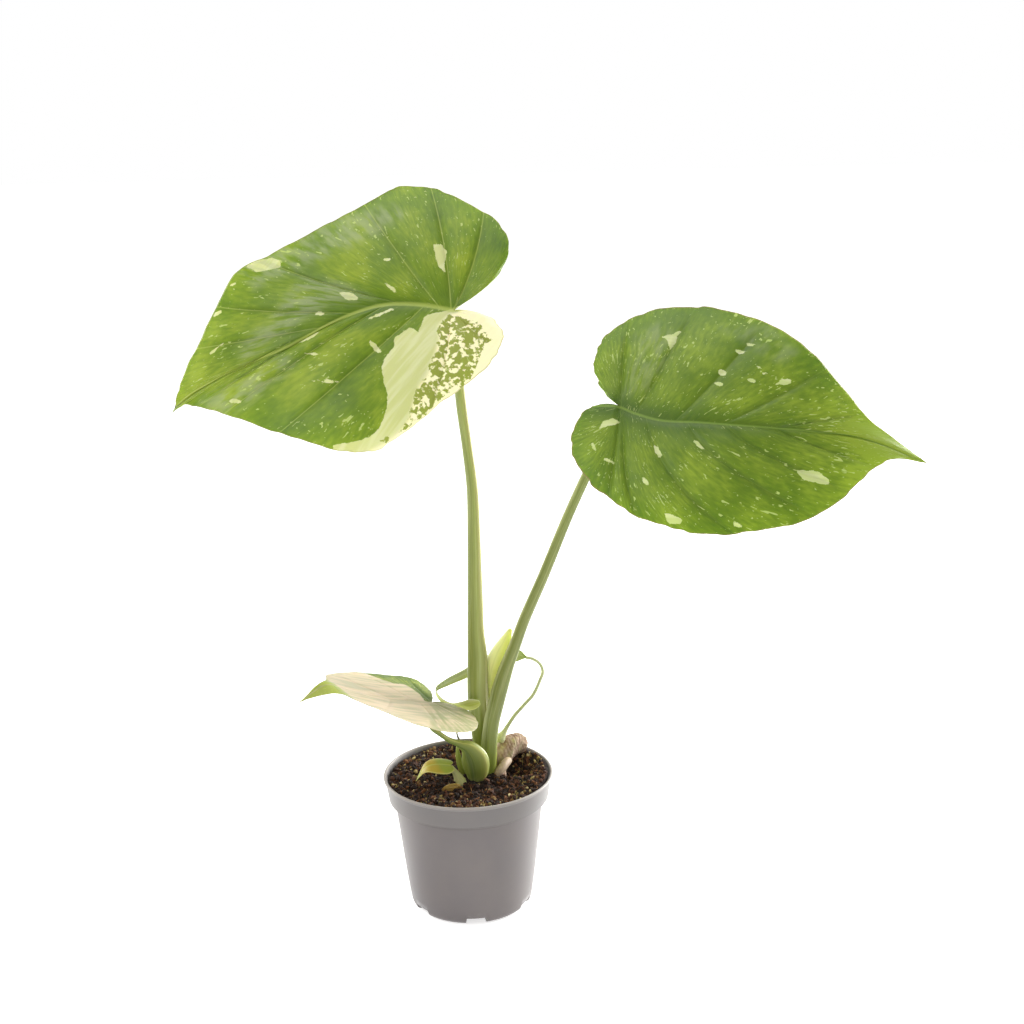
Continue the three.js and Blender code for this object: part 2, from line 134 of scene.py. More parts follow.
def gridFaces(rows, columns, start=0):
    # the quads between neighbouring points of a grid that is stored row by row
    first = (np.arange(rows - 1)[:, None] * columns + np.arange(columns - 1)[None, :]).ravel() + start
    return np.stack([first, first + 1, first + columns + 1, first + columns], 1)


def insideDistance(x, y, outline):
    # distance to the nearest side of a closed outline, positive inside it
    corners = np.array(outline, float)
    best = np.full(x.shape, 1e9)
    inside = np.zeros(x.shape, bool)
    for (ax, ay), (bx, by) in zip(corners, np.roll(corners, -1, 0)):
        dx, dy = bx - ax, by - ay
        along = np.clip(((x - ax) * dx + (y - ay) * dy) / (dx * dx + dy * dy), 0, 1)
        best = np.minimum(best, np.hypot(x - ax - along * dx, y - ay - along * dy))
        if dy:
            inside ^= ((ay > y) != (by > y)) & (x < ax + (y - ay) * dx / dy)
    return np.where(inside, best, -best)


def makePiece(name, points, faces, material, nodes, uvMaps=None, attributes=None, weld=True):
    # points in mm; uv maps and attributes hold one value for each point. Points that coincide are merged,
    # which closes seams and poles, after the uv maps are on the corners.
    mesh = bpy.data.meshes.new(name)
    mesh.vertices.add(len(points))
    mesh.vertices.foreach_set("co", (np.asarray(points) * mm).ravel())
    corners = np.asarray(faces).ravel()
    mesh.loops.add(len(corners))
    mesh.loops.foreach_set("vertex_index", corners)
    mesh.polygons.add(len(faces))
    mesh.polygons.foreach_set("loop_start", np.arange(len(faces)) * faces.shape[1])
    mesh.update(calc_edges=True)
    for title, values in (uvMaps or {}).items():
        layer = mesh.uv_layers.new(name=title)
        layer.data.foreach_set("uv", np.asarray(values)[corners].ravel())
    for title, values in (attributes or {}).items():
        mesh.attributes.new(title, "FLOAT", "POINT").data.foreach_set("value", values.ravel())
    if weld:
        work = bmesh.new()
        work.from_mesh(mesh)
        bmesh.ops.remove_doubles(work, verts=work.verts, dist=0.004 * mm)
        work.to_mesh(mesh)
        work.free()
    mesh.validate()
    mesh.shade_smooth()
    mesh.materials.append(material)
    piece = bpy.data.objects.new(name, mesh)
    scene.collection.objects.link(piece)
    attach(piece, "root")
    if nodes:
        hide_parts(*nodes)
    print("made", name, len(mesh.vertices), "points")
    return piece


# Camera: the photograph's view, fitted to the pot's rim, band and foot

view = {"place": (35.3, -1296.4, 687.0), "pitch": -17.03, "roll": -1.32, "lens": 70, "sensor": 36,
        "clip": 0.01}


def addCamera():
    # forwards tips down by the pitch, and the picture's right and up are rolled about it
    pitch, roll = math.radians(view["pitch"]), math.radians(view["roll"])
    forward = np.array([0, math.cos(pitch), math.sin(pitch)])
    level = np.array([1.0, 0, 0])
    upright = np.cross(level, forward)
    right = math.cos(roll) * level + math.sin(roll) * upright
    up = np.cross(right, forward)
    camera = bpy.data.objects.new("camera", bpy.data.cameras.new("camera"))
    camera.data.lens = view["lens"]
    camera.data.sensor_width = view["sensor"]
    camera.data.clip_start = view["clip"]
    scene.collection.objects.link(camera)
    rows = [[right[i], up[i], -forward[i], view["place"][i] * mm] for i in range(3)]
    camera.matrix_world = Matrix(rows + [[0, 0, 0, 1]])
    scene.camera = camera


# Studio: a white room of soft light, brighter behind, and a pale floor

studio = {
    "room": 0.5, "seen": 1.0, "floor": "#f7f6f4", "floorGlow": 0.62, "floorHalf": 4000, "floorLevel": -0.2,
    "aim": (0, 0, 250),
    "lamps": [("key", (-900, -900, 1500), 1000, 8.0), ("back_left", (-1200, 800, 500), 900, 14.0),
              ("back_right", (1200, 800, 500), 900, 42.0), ("top", (0, 200, 1700), 1200, 8.0)],
}


def addStudio():
    world = bpy.data.worlds.new("white room")
    scene.world = world
    world.use_nodes = True
    tree = world.node_tree
    tree.nodes.clear()
    lit = addNode(tree, "Background", {"Color": (1, 1, 1, 1), "Strength": studio["room"]})
    seen = addNode(tree, "Background", {"Color": (1, 1, 1, 1), "Strength": studio["seen"]})
    path = addNode(tree, "LightPath")
    both = addNode(tree, "MixShader", {0: path.outputs["Is Camera Ray"], 1: lit, 2: seen})
    addNode(tree, "OutputWorld", {"Surface": both})
    for name, place, size, power in studio["lamps"]:
        lamp = bpy.data.lights.new(name, "AREA")
        lamp.shape = "DISK"
        lamp.size = size * mm
        lamp.energy = power
        holder = bpy.data.objects.new(name, lamp)
        aim = np.array(studio["aim"]) - np.array(place)
        holder.location = np.array(place) * mm
        holder.rotation_euler = aimTurn(aim)
        scene.collection.objects.link(holder)
    # uncoated white card, which scatters light evenly
    card, shader, tree, _ = newMaterial("matt white card")
    setInputs(tree, shader, {"Base Color": studio["floor"], "Roughness": 0.9, "Emission Color": (1, 1, 1, 1),
                             "Emission Strength": studio["floorGlow"]})
    half = studio["floorHalf"]
    corners = ((-half, -half), (half, -half), (half, half), (-half, half))
    points = np.array([(x, y, studio["floorLevel"]) for x, y in corners])
    mesh = bpy.data.meshes.new("studio_floor")
    mesh.from_pydata((points * mm).tolist(), [], [(0, 1, 2, 3)])
    mesh.materials.append(card)
    floor = bpy.data.objects.new("studio_floor", mesh)
    scene.collection.objects.link(floor)
    scene.view_settings.view_transform = "Standard"


def aimTurn(aim):
    # the turn that points a lamp's -Z along aim, as Euler angles
    x, y, z = aim / np.linalg.norm(aim)
    return (math.acos(-z), 0, math.atan2(-x, y))


# Leaves: every blade is worked out in its own plane, x to the right of the midrib and y along it

leftLeaf = {
    "piece": "left_leaf_blade", "node": "blade_left", "slot": "leaf_green", "tissue": "waxy leaf, left",
    "stalkPoint": (-0.2, -15, 433.3), "heading": 180, "droop": 18, "roll": 54,
    "scallop": 0.007, "length": 195, "arch": 24, "crest": 0.46, "fall": 0.002, "flatHalf": 25, "bend": None,
    "fan": {"right": (0.25, 3, 0.4, 0.6), "left": (0.45, 3, 0.7, 0.5)}, "tip": (-3, 199),
    "right": [(4, -8), (11, -21), (21, -35), (37, -46), (57, -46), (78, -32), (96, -16), (105, 5), (99, 20),
              (87, 47), (78, 74), (73, 102), (71, 127), (60, 142), (40, 161), (19, 182),
              (7, 190.5), (1, 195)],
    "left": [(-3, -12), (-10, -22), (-21, -26), (-32, -22), (-44, -10), (-54, 6), (-64, 26), (-77, 50),
             (-83, 72), (-78, 90), (-64, 112), (-46, 135), (-24, 160), (-8, 180), (-2, 188.5),
             (-2.2, 193)],
    "midrib": [(0, 0), (6, 13), (11, 30), (12.5, 44), (11, 62), (8, 80), (4, 98), (2, 115), (2, 140),
               (2, 165), (2, 182), (0, 195)],
    "veinsRight": [(27, -18), (56, -8), (64, 27), (47, 85), (34, 120), (24, 150)],
    "veinsLeft": [(-26, -14), (-52, 22), (-38, 91), (-17, 133), (-8, 174)],
    "quilt": 2.0, "wave": 1.6, "along": 260, "across": 66,
}
rightLeaf = {
    "piece": "right_leaf_blade", "node": "blade_right", "slot": "leaf_green", "tissue": "waxy leaf, right",
    "stalkPoint": (109.3, -12, 364.8), "heading": 0, "droop": 12, "roll": -50,
    "scallop": 0.008, "length": 210, "arch": 20, "crest": 0.45, "fall": 0.003, "flatHalf": 25, "bend": None,
    "fan": {"right": (0.35, 3, 0.7, 0.2), "left": (0.35, 2, 0.4, 0.5)}, "tip": (0, 210),
    "right": [(-2, -8), (-1, -16), (4, -23), (15, -28), (27, -29), (40, -25), (52, -17), (63, -4), (72, 11),
              (79, 30), (83, 50), (83, 70), (78, 92), (68, 120), (54, 141), (36, 157), (18, 170), (6, 184),
              (2, 198)],
    "left": [(-6, -8), (-15, -15), (-26, -20), (-39, -21), (-54, -17), (-67, -8), (-78, 8), (-84, 30),
             (-85, 50), (-80, 76), (-70, 102), (-52, 128), (-30, 151), (-17, 168), (-9, 187), (-4, 199)],
    "midrib": [(0, 0), (4, 10), (8, 25), (8, 50), (7, 75), (5, 96), (3, 113), (1, 131), (-2, 152), (-2, 176),
               (0, 195), (0, 210)],
    "veinsRight": [(34, 0), (63, 12), (71, 64), (50, 100), (32, 124), (14, 158)],
    "veinsLeft": [(-26, -2), (-48, 28), (-22, 58), (-17, 99), (-14, 145)],
    "quilt": 1.5, "wave": 1.2, "along": 260, "across": 66,
}
lowLeaf = {
    "piece": "low_leaf_blade", "node": "blade_low", "slot": "leaf_pale", "tissue": "pale leaf, low",
    "stalkPoint": (-23.4, -8.1, 155.5), "heading": 228, "droop": -26, "roll": 13,
    "scallop": 0.008, "length": 130, "arch": -4.4, "crest": 0.47, "fall": 0.001, "flatHalf": 8,
    "bend": (100, 15, 53), "fan": {"right": (0.3, 1.8, 0.6, 0.4), "left": (0.3, 1.8, 0.6, 0.4)},
    "tip": (0, 130),
    "right": [(8, -8), (18, -16), (28, -20), (38, -20), (44, -12), (45, 1), (46, 20), (43, 42), (34, 64),
              (22, 86), (9, 99), (4, 108), (2, 118)],
    "left": [(0, -12), (-4, -22), (-14, -26), (-28, -20), (-39, -8), (-44, 9), (-44, 28), (-39, 50),
             (-32, 71), (-23, 90), (-14, 103), (-8, 114), (-3, 122)],
    "midrib": [(0, 0), (0, 65), (0, 130)],
    "veinsRight": [(30, -8), (38, 30), (24, 66)],
    "veinsLeft": [(-22, -12), (-36, 28), (-24, 72)],
    "quilt": 0.3, "wave": 0.6, "along": 180, "across": 44,
}
offshootLeaf = {
    "piece": "offshoot_leaf_blade", "node": "offshoot_blade", "slot": "young_leaf",
    "tissue": "soft young leaf",
    "stalkPoint": (-11.9, -11.2, 108.6), "heading": 186, "droop": 4, "roll": 14,
    "scallop": 0.01, "length": 32, "arch": 2.5, "crest": 0.35, "fall": 0.03, "flatHalf": 1,
    "bend": (13, 9, 58), "fan": {"right": (0.2, 1.5, 0.6, 0.4), "left": (0.2, 1.5, 0.6, 0.4)}, "tip": (0, 32),
    "right": [(2, -1.5), (5, -2), (8, 1), (9, 6), (8, 12), (6, 17), (3.5, 22), (1.5, 27)],
    "left": [(-2, -1.5), (-5, -2), (-8, 1), (-9, 6), (-8, 12), (-6, 17), (-3.5, 22), (-1.5, 27)],
    "midrib": [(0, 0), (0, 16), (0, 32)],
    "veinsRight": [(5, 8)], "veinsLeft": [(-5, 8)],
    "quilt": 0.25, "wave": 0.2, "along": 90, "across": 24,
}


# mm on a leaf 200 mm long; relief on other leaves goes with their size
blade = {
    "groove": 1.3, "keel": 1.5, "ribHalf": 0.7, "ribHalfGain": 2.4, "veinDip": 0.5, "veinDipHalf": 1.6,
    "veinKeel": 0.5, "veinKeelHalf": 1.2, "lump": 0.35, "lumpSize": 16, "edge": 0.28, "thicker": 0.3,
    "seamRows": 0.62, "roomyShare": 0.09,
}


def midribProfile(leaf, y):
    # height of the midrib over the leaf's plane, and its slope angle: a quarter cosine up to the crest
    # and a parabola down from it; past the bend an arc and then a straight run
    crest = leaf["crest"] * leaf["length"]

    def height(v):
        rise = leaf["arch"] * np.cos(np.pi / 2 * np.clip((v - crest) / crest, -2, 0))
        fall = leaf["arch"] * (1 - ((v - crest) / (leaf["length"] - crest)) ** 2)
        return np.where(v > crest, fall, rise)

    start, over, degrees = leaf["bend"] or (1e6, 1, 0)
    onPlane = np.minimum(y, start)
    angle = np.arctan(height(onPlane + 0.5) - height(onPlane - 0.5))
    turn = math.radians(degrees)
    radius = over / turn if turn else 0
    onArc = np.clip(y - start, 0, over)
    straight = np.maximum(y - start - over, 0)
    bent = angle - turn * onArc / over
    ahead = onPlane + radius * (np.sin(angle) - np.sin(bent)) + straight * np.cos(bent)
    up = height(onPlane) + radius * (np.cos(bent) - np.cos(angle)) + straight * np.sin(bent)
    return ahead, up, bent


def bladeSurface(leaf, x, y, lift):
    # lift mm above the leaf's middle surface, whose sides fall away from the midrib as a parabola past
    # flatHalf; turned by heading, droop and roll, and moved to the stalk point
    ahead, up, angle = midribProfile(leaf, y)
    rise = lift - leaf["fall"] * np.maximum(0, np.abs(x) - leaf["flatHalf"]) ** 2
    local = np.stack([x, ahead - rise * np.sin(angle), up + rise * np.cos(angle)], -1)
    h, d, r = (math.radians(leaf[k]) for k in ("heading", "droop", "roll"))
    forward = np.array([math.cos(h) * math.cos(d), math.sin(h) * math.cos(d), -math.sin(d)])
    level = np.array([math.sin(h), -math.cos(h), 0])
    over = np.cross(level, forward)
    sideways = level * math.cos(r) + over * math.sin(r)
    return local @ np.stack([sideways, forward, np.cross(sideways, forward)]) + np.array(leaf["stalkPoint"])


def veinFan(leaf, side, s, t):
    # x and y at share s of the margin and share t of the way out to it. A fan is (share of the margin
    # whose veins start at the stalk, crowding of the others near it, bend sideways, bend ahead).
    title = "right" if side > 0 else "left"
    lobeShare, crowding, bendAside, bendAhead = leaf["fan"][title]
    end = smoothCurve([(0, 0)] + leaf[title] + [leaf["tip"]], s, 2)
    # shallow scallops along the margin, none at the stalk or the tip
    middle = np.array([0, 0.4 * leaf["length"]])
    scallop = leaf["scallop"] * latticeNoise(70 * s + 5 * side, 0 * s, 1, 17) * softStep(0, 0.1, s * (1 - s))
    end = middle + (end - middle) * (1 + scallop[..., None])
    startY = leaf["length"] * np.maximum(0, (s - lobeShare) / (1 - lobeShare)) ** crowding
    rib = np.array(smoothCurve(leaf["midrib"], np.linspace(0, 1, 200), 2))
    startX = np.interp(startY, rib[:, 1], rib[:, 0])
    bow = 2 * t * (1 - t)
    # the bends fade towards the tip, where both halves share one straight row
    fade = softStep(0.9, 1, s)
    bendAside = bendAside + (0.5 - bendAside) * fade
    bendAhead = bendAhead + (0.5 - bendAhead) * fade
    return (startX + (end[..., 0] - startX) * (bow * bendAside + t * t),
            startY + (end[..., 1] - startY) * (bow * bendAhead + t * t))


def veinShares(leaf, side):
    # the margin shares of the veins that pass through the listed points
    s, t = np.meshgrid(np.linspace(0, 1, 241), np.linspace(0, 1, 61), indexing="ij")
    x, y = veinFan(leaf, side, s, t)
    return [s.ravel()[np.argmin(np.hypot(x - px, y - py))] for px, py in
            leaf["veinsRight" if side > 0 else "veinsLeft"]]


def seamPlaces(leaf):
    # distances along the midrib at which rows start in both halves, so that the seam closes point on point
    crowding = np.mean([leaf["fan"][title][1] for title in ("right", "left")])
    places = [leaf["length"] * np.linspace(0, 1, round(blade["seamRows"] * leaf["along"])) ** crowding]
    for side, title in ((1, "right"), (-1, "left")):
        lobeShare, own = leaf["fan"][title][:2]
        ahead = (np.array(veinShares(leaf, side)) - lobeShare) / (1 - lobeShare)
        places.append(leaf["length"] * np.maximum(0, ahead) ** own)
    return np.unique(np.round(np.concatenate(places), 6))


def bladeRows(leaf, side, veins):
    # margin shares of the grid's rows: even over the lobe, and then those that start on the seam's places
    lobeShare, crowding = leaf["fan"]["right" if side > 0 else "left"][:2]
    lobe = np.linspace(0, lobeShare, round(leaf["along"] * lobeShare))
    beyond = lobeShare + (1 - lobeShare) * (seamPlaces(leaf) / leaf["length"]) ** (1 / crowding)
    return np.unique(np.round(np.concatenate([lobe, veins[veins < lobeShare], beyond]), 9))


def bladeSide(leaf, side):
    # one half of a blade as a grid: out along the upper face, round the margin and back underneath
    veins = np.array([0] + sorted(veinShares(leaf, side)) + [1])
    out = np.linspace(0, 1, leaf["across"])
    t = np.concatenate([out, [1.0], out[::-1]])
    upper = np.concatenate([np.ones(len(out)), [0.5], np.zeros(len(out))])
    s, t = np.meshgrid(bladeRows(leaf, side, veins), t, indexing="ij")
    upper = np.broadcast_to(upper, s.shape)
    x, y = veinFan(leaf, side, s, t)
    size = leaf["length"] / 200
    toTip = 1 - np.clip(y / leaf["length"], 0, 1)
    ribX = np.interp(y, *np.array(smoothCurve(leaf["midrib"], np.linspace(0, 1, 200), 2)).T[::-1])
    fromRib = x - ribX
    # a vein's number counts up along the margin; between is 0 on a vein and next to 1 before the next
    index = np.interp(s, veins, np.arange(len(veins)))
    between = index - np.floor(index)
    step = np.hypot(np.gradient(x, axis=0), np.gradient(y, axis=0))
    spread = step / np.maximum(np.gradient(index, axis=0), 1e-6)
    vein = np.minimum(between, 1 - between) * spread
    # no relief at the first and last rows, which both halves share, and little where veins run close
    start = softStep(0, 0.03, s)
    inner = start * (1 - softStep(0.97, 1, s))
    roomy = inner * np.clip(spread / (blade["roomyShare"] * leaf["length"]), 0, 1)
    pillow = (4 * between * (1 - between)) ** 0.8 * softStep(0, 0.3, t) \
        * (1 - 0.55 * softStep(0.7, 1, t)) * roomy
    ribHalf = (blade["ribHalf"] + blade["ribHalfGain"] * toTip) * size
    onBlade = softStep(-6 * size, 8 * size, y)
    groove = blade["groove"] * size * toTip * np.exp(-(fromRib / ribHalf) ** 2) * onBlade
    veinDip = blade["veinDip"] * size * np.exp(-(vein / (blade["veinDipHalf"] * size)) ** 2) \
        * softStep(0, 0.12, t) * (1 - softStep(0.6, 1, t)) * roomy
    ripple = inner * leaf["wave"] * t ** 4 * latticeNoise(s * 9 + 3 * side, t * 0, 1, 11)
    flatter = 0.35 + 0.65 * softStep(0, 0.5, toTip)
    lumps = blade["lump"] * size * latticeNoise(x + 300, y + 300, blade["lumpSize"] * size, 5)
    relief = leaf["quilt"] * pillow * flatter - groove - veinDip + ripple + lumps
    # the underside lies lower by the thickness, and its ribs stand out as keels
    thick = (blade["edge"] + blade["thicker"] * (1 - start * t ** 3)) * size ** 0.5
    keel = blade["keel"] * size * toTip * np.exp(-(fromRib / (0.8 * ribHalf)) ** 2) * onBlade \
        + blade["veinKeel"] * size * inner * np.exp(-(vein / (blade["veinKeelHalf"] * size)) ** 2) \
        * softStep(0, 0.1, t) * (1 - softStep(0.5, 1, t))
    points = bladeSurface(leaf, x, y, relief - (1 - upper) * (thick + keel + veinDip + groove))
    margin = np.array(smoothCurve([(0, 0)] + leaf["right" if side > 0 else "left"] + [leaf["tip"]],
                                  np.linspace(0, 1, 400), 2))
    marginLength = np.hypot(*np.diff(margin, axis=0).T).sum()
    reach = np.hypot(np.diff(x, axis=1, prepend=x[:, :1]), np.diff(y, axis=1, prepend=y[:, :1]))
    reach = np.cumsum(reach, 1)
    full = reach[:, len(out) - 1][:, None]
    reach = np.minimum(reach, 2 * full - reach)
    values = {
        "upper": upper, "fromRib": fromRib * mm, "veinIndex": index + 20 * (side < 0), "spread": spread * mm,
        "fromMargin": (full - reach) * mm, "pillow": pillow, "toTip": toTip,
    }
    maps = {"flat": np.stack([x, y], -1) * mm,
            "vein": np.stack([s * marginLength + 500 * (side < 0), reach], -1) * mm}
    return x, y, points, values, maps


def makeBlade(leaf, material, marks):
    # both halves of a blade; marks maps an attribute's name to outlines and spots on the leaf's plane
    points, faces, values, maps = [], [], {}, {}
    for side in (1, -1):
        x, y, grid, sideValues, sideMaps = bladeSide(leaf, side)
        quads = gridFaces(*x.shape, start=sum(len(p) for p in points))
        faces.append(quads if side > 0 else quads[:, ::-1])
        points.append(grid.reshape(-1, 3))
        for title, shapes in marks.items():
            sideValues[title] = markDistance(x, y, shapes) * mm
        for store, made in ((values, sideValues), (maps, sideMaps)):
            for title, array in made.items():
                store.setdefault(title, []).append(array.reshape(x.size, -1))
    values, maps = ({k: np.vstack(v) for k, v in store.items()} for store in (values, maps))
    makePiece(leaf["piece"], np.vstack(points), np.vstack(faces), material, [leaf["node"]],
              maps, values)


def markDistance(x, y, shapes):
    # greatest inside distance over outlines (lists of points) and spots (x, y, half length, half width,
    # direction in degrees from the midrib's)
    best = np.full(x.shape, -50.0)
    for shape in shapes:
        if isinstance(shape[0], (int, float)):
            px, py, halfLength, halfWidth, degrees = shape
            turn = math.radians(degrees)
            along = (x - px) * math.sin(turn) + (y - py) * math.cos(turn)
            across = (x - px) * math.cos(turn) - (y - py) * math.sin(turn)
            reach = np.hypot(along / halfLength, across / halfWidth)
            best = np.maximum(best, (1 - reach) * halfWidth)
        else:
            best = np.maximum(best, insideDistance(x, y, shape))
    return best


# The marks that the photograph shows on the leaves, on each leaf's plane in mm

nowhere = [(0, -90, 1, 1, 0)]  # a spot off the leaf
leftMarks = {
    "cream": [
        [(-1, 18), (-7, 22), (-12, 25), (-7, 29), (-10, 34), (-13, 40), (-20, 43), (-26, 50), (-33, 53),
         (-40, 54), (-50, 54), (-58, 56), (-65, 60), (-71, 65), (-74, 72), (-74, 83), (-72, 96), (-95, 105),
         (-110, 40), (-80, -20), (-40, -50), (-10, -45), (1, -14), (1, 2)],
        [(71, 122), (73, 114), (70, 104), (65, 98), (60, 99), (61, 108), (63, 116)],
        [(27, 66), (27, 61), (23, 56), (18, 55), (20, 60), (23, 64)],
        [(50, 0), (50, -6), (43, -7), (36, -4), (28, -2), (32, 1), (42, 1)],
        (17, 81, 3.2, 1.8, 10), (47, 149, 3.4, 1.7, 0), (-17, 53, 5, 1.8, 60), (3, 91, 7.5, 1.5, -8),
        (-18, 152, 4.5, 1.5, 30), (23, 34, 4, 1, 60), (44, 31, 2, 1, 0), (-31, 87, 7, 1.0, 20),
        (-9, 92, 7.5, 0.8, 25), (22, 158, 6, 0.8, -15), (6, 44, 8.5, 1.1, -12), (62, 134, 2.2, 1, 0),
    ],
    "band": [
        [(-3, 3), (-10, 12), (-20, 14), (-28, 18), (-36, 23), (-44, 28), (-50, 34), (-60, 40), (-68, 44),
         (-74, 50), (-80, 64), (-79, 70), (-76, 52), (-68, 34), (-62, 26), (-58, 21), (-54, 13), (-54, 8),
         (-48, 0), (-38, -7), (-28, -12), (-26, -18), (-20, -15), (-14, -14), (-9, -8), (-5, 0)],
    ],
    "bright": [
        [(-3, 3), (-10, 12), (-20, 14), (-28, 18), (-36, 23), (-44, 28), (-50, 34), (-60, 40), (-68, 44),
         (-74, 50), (-80, 64), (-84, 84), (-110, 70), (-110, 10), (-60, -50), (-10, -45), (0, -10)],
    ],
    # painted sheen: greyish streaks painted where the glossy blade would reflect the bright room
    "paintedSheen": [
        [(72, 128), (76, 80), (84, 48), (88, 18), (78, 12), (66, 34), (58, 60), (54, 89), (52, 118)],
        [(16, 140), (22, 116), (44, 86), (33, 62), (17, 48), (22, 72), (18, 92), (11, 116), (6, 138)],
        [(-7, 176), (-7, 142), (-4, 112), (-12, 106), (-22, 136), (-24, 161)],
    ],
}
rightMarks = {
    "cream": [
        [(-55, 19), (-58, 26), (-62, 32), (-56, 30), (-51, 29), (-44, 27), (-49, 25), (-53, 24)],
        [(32, 117), (31, 124), (30, 129), (30, 133), (33, 140), (36, 141), (38, 134), (38, 128), (38, 122),
         (35, 119)],
        [(-26, 97), (-31, 101), (-33, 108), (-30, 109), (-27, 103)],
        [(26, 23), (29, 27), (34, 30), (37, 28), (32, 25)],
        [(18, -12), (12, -10), (9, -4), (11, 1), (14, -2), (15, -7)],
        [(73, 35), (74, 41), (76, 47), (79, 45), (79, 38)],
        (-30, 62, 3.2, 2, 20), (-21, 61, 3, 1.6, 10), (-26, 82, 3, 1.7, 10), (25, 52, 3.6, 1.2, 40),
        (75, 83, 3.5, 1.4, 20), (53, 21, 3.5, 1.1, 50), (40, -3, 4.5, 1.1, 20), (-48, 72, 4, 1.2, 0),
        (-55, 79, 3, 1.2, 0), (-37, 85, 2, 1.1, 0), (-33, 90, 1.8, 1, 0), (30, -14, 3, 1.0, 60),
    ],
    "band": nowhere, "bright": nowhere,
    # painted sheen: greyish bands painted as reflections of the bright room where the blade dips
    "paintedSheen": [[(-10, 2), (-24, 4), (-56, 6), (-66, 16), (-56, 28), (-34, 24), (-14, 14)],
              [(-66, 60), (-72, 90), (-54, 112), (-44, 100), (-54, 80)]],
}
lowMarks = {
    "cream": [
        [(70, 36), (46, 27), (33, 18), (27, 13), (28, 4), (20, 2), (10, 3), (2, 6), (-2, -4), (0, -60),
         (-70, -60), (-80, 60), (-40, 112), (0, 101), (40, 112), (80, 60)],
    ],
    "band": nowhere, "bright": [[(-80, -80), (80, -80), (80, 96), (-80, 96)]],
    # painted sheen over the low leaf's lobe by the stalk
    "paintedSheen": [[(0, -60), (-80, -60), (-70, 40), (-34, 34), (-14, 12), (2, 2)]],
}
youngMarks = {
    "cream": [[(12, 12), (0, 9), (-12, 5), (-12, 24), (12, 24)]], "band": nowhere,
    "bright": [(0, 0, 60, 60, 0)], "paintedSheen": nowhere,
}


# Leaf tissue: waxy living leaf, green with cream marks where the green pigment is missing

bigLeafLook = {
    "greens": ("#4f6c0c", "#6d8619", "#93a32b"), "streaky": 0.5, "clouds": 0.8, "paintedTipLight": 0.12,
    "ribShade": 0.0, "shade": "#48640f", "band": "#989f46", "cream": "#fdf4cb", "pale": "#c9cb8c",
    "streak": "#dcdcb4", "streakShare": 0.45, "streakBright": 0.3, "strokeTurn": 0, "rib": "#a3b44a",
    "ribWidth": 1.9, "under": "#7c8e48", "margin": "#8f8450", "marginShare": 0.5, "speck": "#b9c476",
    # paintedSheen is the greyish colour of the painted sheen, and paintedSheenShare its strength
    "specks": 0.5, "ragged": (1.0, 0.5, 0.12), "marble": 0.455, "lines": 0.45, "paintedSheen": "#a3a886",
    "paintedSheenShare": 0.5,
}
leftLook = dict(bigLeafLook, specks=0.62, strokeTurn=39, streakShare=0.6, rib="#b1bf5c")
rightLook = dict(bigLeafLook, greens=("#4b690f", "#667f18", "#8b9f2a"), rib="#7d983c", ribWidth=0.8,
                 pale="#bdc684", margin="#8d7650", marginShare=0.75, speck="#b6c374", specks=0.68, lines=0.22,
                 paintedSheenShare=0.3, paintedTipLight=0.45, ribShade=1.0, clouds=0.6, streaky=0.6)
lowLook = dict(bigLeafLook, greens=("#43571f", "#5a6e2a", "#a3ab50"), paintedTipLight=0.55, cream="#c9b79c",
               pale="#96a04c", streak="#a09f80", streakShare=0.75, streakBright=1.0, rib="#b3aa88",
               ribWidth=0.4, margin="#8e8a5c", under="#8c9268", speck="#c3c46c", specks=0.6, lines=0.05,
               paintedSheen="#868c62", paintedSheenShare=0.75)
offshootLook = dict(bigLeafLook, greens=("#86993a", "#97a640", "#a9b04a"), streaky=0.12, cream="#bfa840",
                    streak="#aaa644", streakShare=0.4, streakBright=1.0, rib="#c3ca66", ribWidth=0.3,
                    margin="#d3cd76", marginShare=0.8, under="#b9bf5c", speck="#dcd86a", specks=0.0,
                    lines=0.05, ragged=(2.0, 0.2, 3.0))
# noise patterns on a leaf: uv map, mm across the veins, mm along them, detail
leafPatterns = {
    "crowd": ("flat", 26, 26, 2), "clouds": ("flat", 30, 30, 3), "streaks": ("vein", 2.4, 8, 4),
    "paintedSheenStreaks": ("vein", 5, 18, 3), "tear": ("flat", 5, 5, 3), "fray": ("vein", 0.8, 2.4, 2),
    "islands": ("flat", 3, 3, 3), "groups": ("flat", 8, 8, 2), "strokes": ("turned", 4.2, 45, 2),
    "grain": ("vein", 0.8, 3, 2),
}
# layers of specks: mm across the veins, mm along them, largest radius in cells, shift of the cells
speckLayers = ((2.0, 4.4, 0.34, 0.0), (4.6, 13, 0.3, 7.3))
leafValues = ("upper", "fromRib", "veinIndex", "spread", "fromMargin", "pillow", "toTip", "cream", "band",
              "bright", "paintedSheen")
smooth = {"interpolation_type": "SMOOTHSTEP"}


